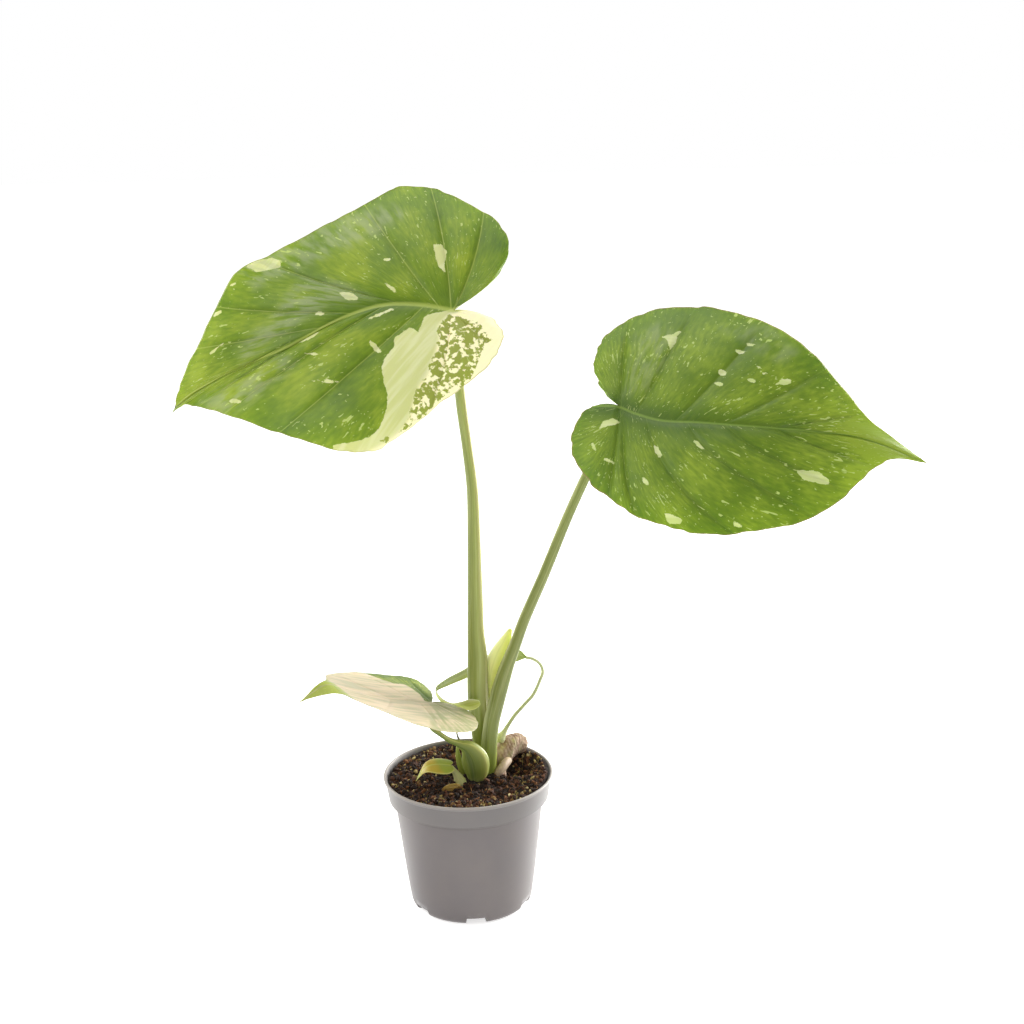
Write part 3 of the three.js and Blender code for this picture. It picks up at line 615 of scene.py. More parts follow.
def leafTissue(name, look):
    # one material for one leaf; at holds the sockets of its attributes and the noises, by title
    made, shader, tree, add = newMaterial(name)
    at = {title: add("Attribute", attribute_name=title).outputs["Fac"] for title in leafValues}
    maps = {title: add("UVMap", uv_map=title) for title in ("flat", "vein")}
    turn = (0, 0, math.radians(look["strokeTurn"]))
    maps["turned"] = add("Mapping", {"Vector": maps["flat"], "Rotation": turn}, vector_type="TEXTURE")
    for title, (uvMap, across, along, detail) in leafPatterns.items():
        cells = add("Mapping", {"Vector": maps[uvMap], "Scale": (1 / (across * mm), 1 / (along * mm), 1)})
        at[title] = add("TexNoise", {"Vector": cells, "Scale": 1, "Detail": detail}, noise_dimensions="2D")
    # painted sheen: a greyish tint, streaked along the veins, painted over green and cream where the gloss
    # would reflect the bright room
    paintedSheenStreaks = (look["paintedSheen"], add("MapRange", {0: at["paintedSheen"], 1: -7 * mm, 2: 5 * mm}, **smooth),
           add("MapRange", {0: at["paintedSheenStreaks"], 1: 0.3, 2: 0.65}, **smooth), look["paintedSheenShare"])

    def ragged(title, coarse, fine, soft):
        # a mark's inside distance as a mask whose edge is broken up by two noises, by sizes in mm
        torn = add("Math", {0: at["tear"], 1: 2 * coarse * mm, 2: at[title]}, operation="MULTIPLY_ADD")
        frayed = add("Math", {0: at["fray"], 1: 2 * fine * mm, 2: torn}, operation="MULTIPLY_ADD")
        middle = coarse + fine
        return add("MapRange", {0: frayed, 1: (middle - soft) * mm, 2: (middle + soft) * mm}, **smooth)

    # green: broad clouds and streaks along the veins, with painted light towards the tip and a painted
    # highlight on the pillows between the veins, which leaves the dips by the veins darker
    level = 0.39 - 0.5 * (look["clouds"] + look["streaky"])
    nearTip = add("MapRange", {0: at["toTip"], 1: 0.5, 2: 0.1}, **smooth)
    for part, share in ((at["clouds"], look["clouds"]), (at["streaks"], look["streaky"]),
                        (nearTip, look["paintedTipLight"]), (at["pillow"], 0.22)):
        level = add("Math", {0: part, 1: share, 2: level}, operation="MULTIPLY_ADD")
    green = add("ValToRGB", {0: level}, stops=list(zip((0.15, 0.5, 0.85), look["greens"])))

    # painted shade along the rib near the stalk, and pale lateral veins
    offRib = add("Math", {0: at["fromRib"]}, operation="ABSOLUTE")
    nearRib = add("MapRange", {0: offRib, 1: 2 * mm, 2: 17 * mm, 3: 1, 4: 0}, **smooth)
    nearStalk = add("Math", {0: at["toTip"], 1: 2.5}, operation="POWER")
    closest = add("Math", {0: at["veinIndex"]}, operation="ROUND")
    apart = add("Math", {0: at["veinIndex"], 1: closest}, operation="SUBTRACT")
    apart = add("Math", {0: apart}, operation="ABSOLUTE")
    apart = add("Math", {0: apart, 1: at["spread"]}, operation="MULTIPLY")
    veins = add("MapRange", {0: apart, 1: 0.15 * mm, 2: 0.6 * mm, 3: 1, 4: 0}, **smooth)

    # cream: sectors and patches with ragged edges, and green islands in the marbled band
    band = ragged("band", 3.0, 0.8, 0.2)
    islands = add("Math", {0: at["groups"], 1: 0.4}, operation="MULTIPLY")
    islands = add("Math", {0: at["islands"], 1: 0.65, 2: islands}, operation="MULTIPLY_ADD")
    islands = add("MapRange", {0: islands, 1: look["marble"], 2: look["marble"] + 0.08, 4: -1}, **smooth)
    holes = add("Math", {0: islands, 1: band, 2: 1}, operation="MULTIPLY_ADD")
    cream = add("Math", {0: ragged("cream", *look["ragged"]), 1: holes}, operation="MULTIPLY")
    bright = add("MapRange", {0: at["bright"], 1: -2 * mm, 2: 2 * mm}, **smooth)
    fewer = add("Math", {0: bright, 1: look["streakBright"] - 1, 2: 1}, operation="MULTIPLY_ADD")
    strokes = add("MapRange", {0: at["strokes"], 1: 0.36, 2: 0.7}, **smooth)
    creamColour = layered(tree, look["pale"], [
        (look["cream"], bright), (look["streak"], strokes, look["streakShare"], fewer), paintedSheenStreaks])

    # midrib, which narrows from the stalk to the tip, margin and underside
    ribReach = add("Math", {0: at["toTip"], 1: 2}, operation="POWER")
    wider = 1.1 * look["ribWidth"] * mm
    ribReach = add("Math", {0: ribReach, 1: wider, 2: 0.65 * mm}, operation="MULTIPLY_ADD")
    rib = add("Math", {0: offRib, 1: ribReach}, operation="DIVIDE")
    rib = add("MapRange", {0: rib, 1: 0.25, 2: 1, 3: 0.7, 4: 0}, **smooth)
    edge = add("MapRange", {0: at["fromMargin"], 1: 0.3 * mm, 2: 1.1 * mm, 3: look["marginShare"], 4: 0},
               **smooth)
    under = add("MapRange", {0: at["upper"], 1: 0.3, 2: 0.7, 3: 1, 4: 0}, **smooth)
    lessOnCream = add("Math", {0: cream, 1: -0.35, 2: 0.6}, operation="MULTIPLY_ADD")
    colour = layered(tree, green, [
        (look["shade"], nearRib, nearStalk, look["ribShade"]), paintedSheenStreaks, (look["rib"], veins, look["lines"]),
        (look["band"], band, 0.92), (look["speck"], leafSpecks(add, at, maps, look)), (creamColour, cream),
        (look["rib"], rib), (look["margin"], edge), (look["under"], under, lessOnCream)])

    # the wax gives a soft broad gloss, and light that falls on the leaf's back glows through
    grain = add("Math", {0: at["grain"], 1: 0.5, 2: at["streaks"]}, operation="MULTIPLY_ADD")
    bump = add("Bump", {"Height": grain, "Distance": 0.25 * mm, "Strength": 0.5})
    setInputs(tree, shader, {
        "Base Color": colour, "Normal": bump,
        "Roughness": add("Math", {0: at["clouds"], 1: 0.16, 2: 0.34}, operation="MULTIPLY_ADD"),
        "Specular IOR Level": 0.38, "IOR": 1.45, "Subsurface Weight": 0.2,
        "Subsurface Radius": (1.0, 1.2, 0.5), "Subsurface Scale": 1.2 * mm})
    return made


def leafSpecks(add, at, maps, look):
    # one speck at most in each cell of a layer, longer along the veins; most cells have none
    crowded = add("Math", {0: at["crowd"], 1: 0.9, 2: -0.45}, operation="MULTIPLY_ADD")
    specks = 0
    for across, along, largest, shift in speckLayers:
        cells = add("Mapping", {"Vector": maps["vein"], "Location": (shift, shift, 0),
                                "Scale": (1 / (across * mm), 1 / (along * mm), 1)})
        bend = add("TexNoise", {"Vector": cells, "Scale": 0.9}, noise_dimensions="2D").outputs[1]
        bent = add("VectorMath", {0: bend, 1: (1.6, 1.6, 1.6), 2: cells}, operation="MULTIPLY_ADD")
        spots = add("TexVoronoi", {"Vector": bent, "Scale": 1}, voronoi_dimensions="2D")
        chance = add("SeparateColor", {0: spots.outputs["Color"]})
        chance = add("Math", {0: chance, 1: crowded}, operation="ADD")
        radius = add("MapRange", {0: chance, 1: 1.25 - look["specks"], 2: 1.3, 4: largest})
        inside = add("Math", {0: radius, 1: spots.outputs["Distance"]}, operation="SUBTRACT")
        layer = add("MapRange", {0: inside, 1: 0, 2: 0.05, 4: 0.82}, **smooth)
        specks = add("Math", {0: specks, 1: layer}, operation="MAXIMUM")
    return specks


def addLeaves():
    for leaf, look, marks in ((leftLeaf, leftLook, leftMarks), (rightLeaf, rightLook, rightMarks),
                              (lowLeaf, lowLook, lowMarks), (offshootLeaf, offshootLook, youngMarks)):
        makeBlade(leaf, leafTissue(leaf["tissue"], look), marks)


# Potting mix: dark peat with bark crumbs, fibres and a few tan grains

mixLook = {
    "level": 92.6, "crumbs": 3800, "grains": 1300, "fibres": 160, "reach": 55, "wallRadius": 57.2,
    "crumbSize": (0.45, 1.7, 3.2), "crumbTint": (0, 0.5, 2.0), "grainSize": (0.35, 1.2, 2.2),
    "grainTint": (0.46, 0.34, 1.3), "lumps": ((1.2, 6.5, 71), (0.8, 3.0, 72), (0.45, 1.3, 73)),
    "colours": [(0.12, "#0e0704"), (0.35, "#2c170b"), (0.55, "#573016"), (0.72, "#7d5029"), (0.84, "#7d6e36"),
                (0.93, "#ad9657"), (1, "#d3c08a")],
}
pot = {
    "rimRadius": 60, "height": 98, "bandBottom": 81, "wall": 1.2, "bodyRadiusTop": 52.5, "bodyRadiusLow": 46,
    "bodyLowHeight": 23, "baseRadius": 43, "floorUnderside": 4.6, "floorTop": 6, "padRadius": 10,
    "notches": 6, "notchWidth": 14, "notchHeight": 5.2, "firstNotch": -85, "holeRadius": 3.5,
    "holeCircle": 30,
}


# where stalks and stems come out of the mix: x, y and reach
feet = [(10, 14.4, 6), (13.5, 3.9, 5.5), (5.6, -5.8, 7.5), (18.5, 12.6, 2.5), (24, 20, 7), (-5.3, -11.4, 4)]


def mixHeight(x, y):
    # the mix rises to the wall, most at the back, with a hollow behind the crown
    edge = 2.1 + 1.1 * (y - 0.5 * np.abs(x)) / pot["rimRadius"]
    edge = edge + 3.4 * softStep(0, 1, (x + 0.5 * y) / pot["rimRadius"])
    edge = softStep(28, 56, np.hypot(x, y)) * edge
    hollow = 1 - softStep(4, 19, np.hypot(x - 35, y - 13))
    lumps = 0.4 * np.sin(x * 0.21 + 1) * np.cos(y * 0.17) + 0.3 * np.sin(x * 0.47 + y * 0.39)
    return mixLook["level"] + edge + lumps - 8 * hollow


def roughHeight(x, y):
    # the same with crumbs of three sizes heaped on it, which also cover the crown's top and every foot
    crumbs = sum(height * latticeNoise(x + 200, y + 200, cell, seed)
                 for height, cell, seed in mixLook["lumps"])
    heap = 1.6 * (1 - softStep(12, 18, np.hypot(x - 13, y - 7.5)))
    for footX, footY, reach in feet:
        heap = np.maximum(heap, 2.4 * (1 - softStep(reach, reach + 7, np.hypot(x - footX, y - footY))))
    inPot = 1 - softStep(46, 55, np.hypot(x, y))
    return mixHeight(x, y) + crumbs * (0.5 + 0.5 * inPot) + heap


def mixMaterial():
    made, shader, tree, add = newMaterial("damp peat and bark")
    place = add("TexCoord").outputs["Object"]
    tint = add("Attribute", attribute_name="tint").outputs["Fac"]
    crumbs = add("TexNoise", {"Vector": place, "Scale": 1 / (3 * mm), "Detail": 5, "Roughness": 0.7})
    grit = add("TexNoise", {"Vector": place, "Scale": 1 / (0.7 * mm), "Detail": 4})
    level = add("Math", {0: crumbs, 1: 0.5, 2: tint}, operation="MULTIPLY_ADD")
    colour = add("ValToRGB", {0: level}, stops=mixLook["colours"])
    setInputs(tree, shader, {
        "Base Color": colour, "Roughness": 0.85,
        "Normal": add("Bump", {"Height": grit, "Distance": 0.8 * mm, "Strength": 1})})
    return made


def addMix():
    soil = mixMaterial()
    side = [(0, pot["floorTop"] + 0.4), (40, pot["floorTop"] + 0.4), (42, pot["floorTop"] + 3),
            (44.4, pot["bodyLowHeight"]), (50.9, pot["bandBottom"]), (55, pot["bandBottom"] + 2)]
    angle = np.linspace(0, 2 * np.pi, 241)[None, :]
    r = np.concatenate([[radius for radius, _ in side], np.linspace(56.4, 0, 90)])[:, None]
    x, y = r * np.cos(angle), r * np.sin(angle)
    z = roughHeight(x, y)
    z[:len(side)] = [[height] for _, height in side]
    points = np.stack([x, y, z], -1)
    tint = 0.02 + 0.10 * latticeNoise(x + 200, y + 200, 4.0, 75)
    makePiece("potting_mix_bed", points.reshape(-1, 3), gridFaces(*x.shape), soil,
              ["potting_mix"], attributes={"tint": tint.reshape(-1)})
    addCrumbs(soil)


def icosahedron():
    # twelve points on three golden rectangles and their twenty faces
    g = (1 + math.sqrt(5)) / 2
    points = np.array([(-1, g, 0), (1, g, 0), (-1, -g, 0), (1, -g, 0), (0, -1, g), (0, 1, g), (0, -1, -g),
                       (0, 1, -g), (g, 0, -1), (g, 0, 1), (-g, 0, -1), (-g, 0, 1)]) / math.hypot(1, g)
    faces = np.array([(0, 11, 5), (0, 5, 1), (0, 1, 7), (0, 7, 10), (0, 10, 11), (1, 5, 9), (5, 11, 4),
                      (11, 10, 2), (10, 7, 6), (7, 1, 8), (3, 9, 4), (3, 4, 2), (3, 2, 6), (3, 6, 8),
                      (3, 8, 9), (4, 9, 5), (2, 4, 11), (6, 2, 10), (8, 6, 7), (9, 8, 1)])
    return points, faces


def scatter(rng, count):
    # random places on the mix inside the wall, outside the stems' feet
    r = mixLook["reach"] * np.sqrt(rng.uniform(0, 1, count))
    a = rng.uniform(0, 2 * np.pi, count)
    x, y = r * np.cos(a), r * np.sin(a)
    keep = np.ones(count, bool)
    for footX, footY, reach in feet:
        keep &= np.hypot(x - footX, y - footY) > reach
    return x[keep], y[keep]


def drawn(rng, count, low, span, power):
    # random values from low up to low + span, crowded towards low by the power
    return low + span * rng.uniform(0, 1, count) ** power


def insideWall(points, limit):
    # pulls points beyond the limit in to it
    points[..., :2] *= (limit / np.maximum(np.hypot(points[..., 0], points[..., 1]), limit))[..., None]


def addCrumbs(soil):
    # bark crumbs of many sizes, and tan grains, most of them towards the wall
    rng = np.random.default_rng(7)
    ball, faces = icosahedron()
    x, y = scatter(rng, mixLook["crumbs"])
    size = drawn(rng, len(x), *mixLook["crumbSize"])
    tint = drawn(rng, len(x), *mixLook["crumbTint"])
    gx, gy = scatter(rng, mixLook["grains"])
    nearEdge = (np.hypot(gx - 4, gy + 4) > 34) | (rng.uniform(0, 1, len(gx)) < 0.22)
    gx, gy = gx[nearEdge], gy[nearEdge]
    x, y = np.concatenate([x, gx]), np.concatenate([y, gy])
    size = np.concatenate([size, drawn(rng, len(gx), *mixLook["grainSize"])])
    tint = np.concatenate([tint, drawn(rng, len(gx), *mixLook["grainTint"])])
    stretch = rng.uniform(0.6, 1.4, (len(x), 1, 3)) * size[:, None, None]
    turn = np.linalg.qr(rng.normal(size=(len(x), 3, 3)))[0]
    turn[:, :, 0] *= np.sign(np.linalg.det(turn))[:, None]
    lumps = ball[None] * stretch * rng.uniform(0.6, 1.25, (len(x), 12, 1))
    centre = np.stack([x, y, roughHeight(x, y) + 0.25 * size], -1)
    points = lumps @ turn + centre[:, None]
    insideWall(points, mixLook["wallRadius"])
    allFaces = (faces[None] + 12 * np.arange(len(x))[:, None, None]).reshape(-1, 3)
    crumbs = makePiece("mix_crumbs", points.reshape(-1, 3), allFaces, soil, [],
                       attributes={"tint": np.repeat(tint, 12)}, weld=False)
    crumbs.data.shade_flat()
    addFibres(rng, soil)


def addFibres(rng, soil):
    # short bent root and coir fibres: four-sided tubes of six rings
    x, y = scatter(rng, mixLook["fibres"])
    count = len(x)
    along = np.linspace(-0.5, 0.5, 6)[None, :, None]
    heading = rng.uniform(0, 2 * np.pi, (count, 1, 1))
    length = rng.uniform(4, 11, (count, 1, 1))
    bend = rng.uniform(-2.5, 2.5, (count, 1, 1)) * (along ** 2 * 4 - 1)
    px = x[:, None, None] + length * along * np.cos(heading) - bend * np.sin(heading)
    py = y[:, None, None] + length * along * np.sin(heading) + bend * np.cos(heading)
    thick = rng.uniform(0.15, 0.35, (count, 1, 1))
    corner = np.linspace(0, 2 * np.pi, 4, endpoint=False)[None, None, :]
    taper = thick * (1.05 - (along * 2) ** 4)
    pz = roughHeight(px, py) + 0.9 + rng.uniform(-0.3, 0.8, (count, 1, 1)) * (1 - along ** 2 * 4)
    ringX = px - np.sin(heading) * taper * np.cos(corner)
    ringY = py + np.cos(heading) * taper * np.cos(corner)
    points = np.stack([ringX, ringY, pz + taper * np.sin(corner)], -1)
    insideWall(points, mixLook["wallRadius"] - 0.2)
    ring = np.arange(4)
    quads = np.stack([ring, (ring + 1) % 4, (ring + 1) % 4 + 4, ring + 4], 1)
    one = np.concatenate([quads + 4 * k for k in range(5)] + [[[3, 2, 1, 0]], [[20, 21, 22, 23]]])
    faces = (one[None] + 24 * np.arange(count)[:, None, None]).reshape(-1, 4)
    tint = np.repeat(rng.uniform(0.15, 0.6, count), 24)
    makePiece("mix_fibres", points.reshape(-1, 3), faces, soil, [], attributes={"tint": tint},
              weld=False)


# Pot: injection-moulded polypropylene, matt, with a band under the lip and a notched foot

# dark colours both the painted shadow line under the band and the small dark specks
potLook = {"body": "#655f5f", "band": "#676362", "lip": "#a9a29c", "dark": "#4a4341", "dust": "#7b736e"}


def potPlastic():
    made, shader, tree, add = newMaterial("moulded polypropylene, grey")
    place = add("TexCoord").outputs["Object"]
    height = add("MapRange", {0: add("SeparateXYZ", {0: place}).outputs[2], 2: pot["height"] * mm})
    # painted shadow: the body darkens just under the band, between 0.79 and 0.836 of the height
    tone = add("ValToRGB", {0: height}, stops=[(share, potLook[title]) for share, title in (
        (0, "body"), (0.79, "body"), (0.812, "dark"), (0.826, "dark"), (0.836, "band"), (0.98, "band"),
        # painted highlight: the top of the lip lightens from 0.98 of the height up
        (1, "lip"))])
    # faint dust in clouds, and small dark specks
    haze = add("TexNoise", {"Vector": place, "Scale": 1 / (30 * mm), "Detail": 3})
    dust = add("MapRange", {0: haze, 1: 0.4, 2: 0.75, 4: 0.3})
    cells = add("TexVoronoi", {"Vector": place, "Scale": 1 / (11 * mm)})
    chance = add("SeparateColor", {0: cells.outputs["Color"]})
    radius = add("MapRange", {0: chance, 1: 0.7, 4: 0.085})
    inside = add("Math", {0: radius, 1: cells.outputs["Distance"]}, operation="SUBTRACT")
    spots = add("MapRange", {0: inside, 2: 0.03, 4: 0.6})
    grain = add("TexNoise", {"Vector": place, "Scale": 1 / (0.6 * mm), "Detail": 2})
    # the sheen is fine dust, which lightens the pot where it turns away
    setInputs(tree, shader, {
        "Base Color": layered(tree, tone, [(potLook["dust"], dust), (potLook["dark"], spots)]),
        "Normal": add("Bump", {"Height": grain, "Distance": 0.06 * mm, "Strength": 0.5}),
        "Roughness": add("MapRange", {0: haze, 1: 0.3, 2: 0.7, 3: 0.42, 4: 0.56}),
        "IOR": 1.49, "Sheen Weight": 0.35, "Sheen Roughness": 0.35})
    return made


def roundedProfile(corners, step=0.6):
    # a polyline of (r, z, corner radius) with each corner replaced by a curve through its cut-off points
    path = []
    for before, here, after in zip([corners[0]] + corners[:-1], corners, corners[1:] + [corners[-1]]):
        p = np.array(here[:2], float)
        inward, outward = np.array(before[:2]) - p, np.array(after[:2]) - p
        reach = [min(here[2], 0.45 * np.hypot(*v)) if np.hypot(*v) else 0 for v in (inward, outward)]
        if min(reach) == 0:
            path.append([p])
            continue
        a, b = (p + v / np.hypot(*v) * d for v, d in ((inward, reach[0]), (outward, reach[1])))
        t = np.linspace(0, 1, 6)[:, None]
        path.append((1 - t) ** 2 * a + 2 * t * (1 - t) * p + t ** 2 * b)
    points = np.vstack(path)
    parts = [points[:1]]
    for a, b in zip(points[:-1], points[1:]):
        pieces = max(1, int(np.hypot(*(b - a)) / step / 6))
        parts.append(a + (b - a) * np.linspace(0, 1, pieces + 1)[1:, None])
    return np.vstack(parts)


def addPot():
    # the profile runs from the axis along the underside, up the outside to the lip and down the inside;
    # turned about the axis, its foot is lifted where the notches are
    top, band = pot["height"], pot["bandBottom"]
    rim, base, wall = pot["rimRadius"], pot["baseRadius"], pot["wall"]
    bandTop, bandLow = rim - 1.3, rim - 3.4
    corners = [
        (0, 0, 0), (pot["padRadius"], 0, 0.6), (pot["padRadius"] + 1.6, pot["floorUnderside"], 0.8),
        (base - 6, pot["floorUnderside"], 0.8), (base - 5.4, 0, 0.4), (base - 2.8, 0, 1.2), (base, 2.6, 2.2),
        (pot["bodyRadiusLow"], pot["bodyLowHeight"], 8), (pot["bodyRadiusTop"], band - 1.5, 1.5),
        (bandLow, band, 0.5), (bandTop, top - 2.6, 0.8), (rim, top - 1.9, 0.4), (rim, top - 0.6, 0.5),
        (rim - 0.6, top, 0.5), (rim - 1.6, top, 0.5), (bandTop - wall, top - 2.6, 0.8),
        (bandLow - wall, band + 1.6, 0.8), (pot["bodyRadiusTop"] - wall, band, 1.0),
        (pot["bodyRadiusLow"] - wall, pot["bodyLowHeight"], 8), (base - wall, pot["floorTop"] + 1, 0.5),
        (base - wall - 1.2, pot["floorTop"], 0.5), (pot["padRadius"] + 2.6, pot["floorTop"], 0.8),
        (pot["padRadius"] - 1, wall, 0.6), (0, wall, 0),
    ]
    profile = roundedProfile(corners)
    around = np.linspace(0, 2 * np.pi, 361)
    r, z = (np.broadcast_to(profile[:, k:k + 1], (len(profile), len(around))).copy() for k in (0, 1))
    step = math.radians(360 / pot["notches"])
    nearest = (around - math.radians(pot["firstNotch"]) + step / 2) % step - step / 2
    halfWidth = pot["notchWidth"] / 2
    aside = np.abs(base * np.sin(nearest))
    lift = pot["notchHeight"] * (1 - softStep(halfWidth - 0.2, halfWidth + 0.7, aside))
    foot = (r > base - 7) & (z < pot["notchHeight"]) & (np.arange(len(profile))[:, None] < len(profile) / 2)
    z = np.where(foot, np.maximum(z, lift[None, :]), z)
    points = np.stack([r * np.cos(around), r * np.sin(around), z], -1)
    made = makePiece("nursery_pot", points.reshape(-1, 3), gridFaces(*r.shape), potPlastic(),
                     ["pot"])
    cutHoles(made)


def cutHoles(made):
    # a drain hole through the floor behind each notch
    cutters = bmesh.new()
    for k in range(pot["notches"]):
        angle = math.radians(pot["firstNotch"] + 360 / pot["notches"] * k)
        place = [pot["holeCircle"] * mm * math.cos(angle), pot["holeCircle"] * mm * math.sin(angle),
                 pot["floorTop"] * mm]
        ends = bmesh.ops.create_cone(cutters, cap_ends=True, segments=32, radius1=pot["holeRadius"] * mm,
                                     radius2=pot["holeRadius"] * mm, depth=8 * mm)
        bmesh.ops.translate(cutters, verts=ends["verts"], vec=place)
    mesh = bpy.data.meshes.new("drain_hole_cutters")
    cutters.to_mesh(mesh)
    cutters.free()
    tool = bpy.data.objects.new("drain_hole_cutters", mesh)
    scene.collection.objects.link(tool)
    cut = made.modifiers.new("drain holes", "BOOLEAN")
    cut.object = tool
    cut.operation = "DIFFERENCE"
    cut.solver = "EXACT"
    bpy.context.view_layer.update()
    finished = bpy.data.meshes.new_from_object(made.evaluated_get(bpy.context.evaluated_depsgraph_get()))
    made.modifiers.clear()
    made.data = finished
    bpy.data.objects.remove(tool)


# Stalks and stems: a grooved or winged ellipse carried along a smooth curve

# A station is (x, y, z, half width, half depth), and the crown's top and a gap set the foot. The colours of
# a skin run round from the right side (0) by the back (0.25) and the left (0.5), and back to the first.
crownTop = 93.2
stalkFoot = crownTop + 0.3


def ridge(angle, at, wide):
    # a rounded ridge of height 1 at an angle in degrees, wide degrees to each side
    apart = np.abs((np.degrees(angle) - at + 180) % 360 - 180)
    return np.exp(-(apart / wide) ** 2)


def leftStalkShape(angle, share):
    # a sheath edge down the right side of the lower part, and fine ribs all round
    sheath = (1 - softStep(0.12, 0.42, share)) * softStep(0, 0.05, share)
    return sheath * (0.9 * ridge(angle, 312, 9) - 0.5 * ridge(angle, 290, 12)) + 0.02 * np.cos(22 * angle)


def rightStalkShape(angle, share):
    # a wing along the left edge, widest low down, beside a shallow channel
    wing = 0.25 + 1.1 * (1 - softStep(0.1, 0.5, share)) * softStep(0, 0.05, share)
    return wing * (ridge(angle, 208, 10) - 0.6 * ridge(angle, 232, 14)) + 0.02 * np.cos(20 * angle)


def lowStalkShape(angle, share):
    # the open sheath: a groove left of its middle and a raised rim on the right, fading up the stalk
    sheath = softStep(0.0, 0.12, share) * (1 - softStep(0.3, 0.45, share))
    return sheath * (0.4 * ridge(angle, 318, 14) - 0.6 * ridge(angle, 250, 14)) \
        + 0.01 * np.cos(18 * angle)


def spearShape(angle, share):
    # the free edge of the rolled leaf winds up the spear as one step
    seam = 250 + 70 * share
    step = (np.degrees(angle) - seam) % 360
    return 0.5 * softStep(0, 0.1, share) * np.exp(-step / 50) * softStep(0, 4, step) - 0.15


def foldedShape(angle, _):
    # a leaf folded along its midrib: pinched flat, with a crease along the side that faces the front
    return -0.5 * ridge(angle, 270, 30) - 0.35 * ridge(angle, 90, 40)


def lumpy(cell, height, seed):
    # an outward shape of rounded lumps
    def shape(angle, share):
        x = 30 + 5 * np.cos(angle)
        return height * latticeNoise(x + 20 * share / cell, 30 + 5 * np.sin(angle) + 11 * share, 2.0, seed) \
            + 0.4 * height * latticeNoise(x + 60 * share, 30 + 5 * np.sin(angle), 0.7, seed + 1)
    return shape


leftStalk = {
    "piece": "left_leaf_stalk", "node": "petiole_left", "slot": "stalk", "grid": (320, 97),
    "shape": leftStalkShape,
    "skin": {"name": "petiole skin, left", "foot": "#96a442", "footLength": 60, "around": [
        (0, "#93954f"), (0.25, "#82893f"), (0.5, "#7d8640"), (0.7, "#838c3f"), (0.79, "#949e49"),
        (0.88, "#98984f"), (1, "#9a9955")]},
    "stations": [
        (10, 14.4, stalkFoot, 6, 4.2), (9.9, 14.3, 113, 6.3, 4.5), (8.8, 14, 135, 7.2, 4.8),
        (8.2, 13.5, 151, 7.4, 4.8), (8.6, 13, 181, 6.9, 4.5), (8, 12.5, 200, 5.9, 4.3),
        (8.3, 11.8, 222, 5.4, 4), (8.7, 10.5, 270, 4.5, 3.6), (8.5, 8.5, 305, 3.9, 3.3),
        (5.8, 6, 336, 3.5, 3), (2.9, 2.5, 365, 3.5, 2.9), (0.9, 0, 395, 3.3, 2.8),
        (-0.8, -2, 415, 3.1, 2.8), (-1.8, -8, 426.5, 3, 2.8), (-0.4, -14.2, 432.6, 2.6, 2.6),
    ],
}
rightStalk = {
    "piece": "right_leaf_stalk", "node": "petiole_right", "slot": "stalk", "grid": (300, 97),
    "shape": rightStalkShape,
    "skin": {"name": "petiole skin, right", "foot": "#8f9c42", "footLength": 60, "around": [
        (0, "#717838"), (0.3, "#6f7838"), (0.5, "#858b54"), (0.56, "#a9ad74"), (0.63, "#757e38"),
        (0.8, "#7b833c"), (0.92, "#666f30")]},
    "stations": [
        (13.5, 3.9, stalkFoot, 5.4, 3.3), (14.9, 4.4, 108, 5.4, 3.8), (17.3, 6, 131, 5.4, 4.2),
        (20.8, 7, 146, 5.6, 4.3), (24.8, 7, 161, 5.6, 4.2), (29.6, 6.5, 176, 4.9, 4),
        (35.3, 6, 191, 4.2, 3.7), (42.1, 5, 210, 4, 3.6), (56.1, 3, 243, 3.8, 3.1),
        (73.7, 0, 287, 3.5, 2.8), (86.2, -1.6, 315, 3.4, 2.7), (97.4, -1.8, 338, 3.2, 2.6),
        (105.6, -2.6, 352.5, 3, 2.6), (109.6, -6.6, 360, 2.8, 2.6), (109.5, -11.3, 364.3, 2.4, 2.4),
    ],
}
lowStalk = {
    "piece": "low_leaf_stalk", "node": "petiole_low", "slot": "stalk", "grid": (240, 97),
    "shape": lowStalkShape,
    # the dark stop at 0.69 runs along the sheath's groove as painted shade
    "skin": {"name": "petiole skin, low", "foot": "#a8aa68", "footLength": 10, "around": [
        (0, "#8c9440"), (0.4, "#7f8a38"), (0.62, "#83903c"), (0.69, "#5d7030"), (0.75, "#788638"),
        (0.85, "#929b44"), (0.895, "#bdbd68"), (0.93, "#98a04c")]},
    "stations": [
        (5.6, -5.8, stalkFoot, 5.2, 3.6), (6.2, -5.8, 102, 8.8, 4.6), (4.8, -6.2, 111.5, 9.4, 4.6),
        (0.6, -7, 119.5, 6, 4), (-5.4, -8.2, 123.4, 2.8, 2.8), (-12, -10, 127, 1.9, 1.9),
        (-18.5, -12, 132.7, 1.7, 1.7), (-23.8, -12, 137.2, 1.7, 1.7), (-26.4, -10.6, 143, 1.7, 1.7),
        (-25.6, -9, 149, 1.6, 1.6), (-24, -8.2, 154.4, 1.5, 1.5),
    ],
}
spear = {
    "piece": "new_leaf_spear_roll", "node": "new_leaf_spear", "slot": "young_leaf", "grid": (180, 81),
    "shape": spearShape,
    "skin": {"name": "young leaf skin", "foot": "#b3bd54", "lines": 0.1, "around": [
        (0, "#eef27c"), (0.4, "#f4f6a4"), (0.52, "#f8f8d2"), (0.62, "#f6f8aa"), (0.76, "#f3f786")]},
    "stations": [
        (18.5, 12.6, stalkFoot, 2, 2), (18.4, 14.6, 115, 2.3, 2.3), (17.8, 16.6, 137, 3, 2.4),
        (17.4, 17, 150, 4.6, 2.8), (18.4, 17, 161, 6.3, 3), (20.5, 17, 171, 7.4, 3.2),
        (23.8, 16.5, 180.5, 6.6, 2.8), (28.2, 16, 190, 4.5, 2.2), (32.4, 15.4, 200, 1.2, 1),
    ],
}
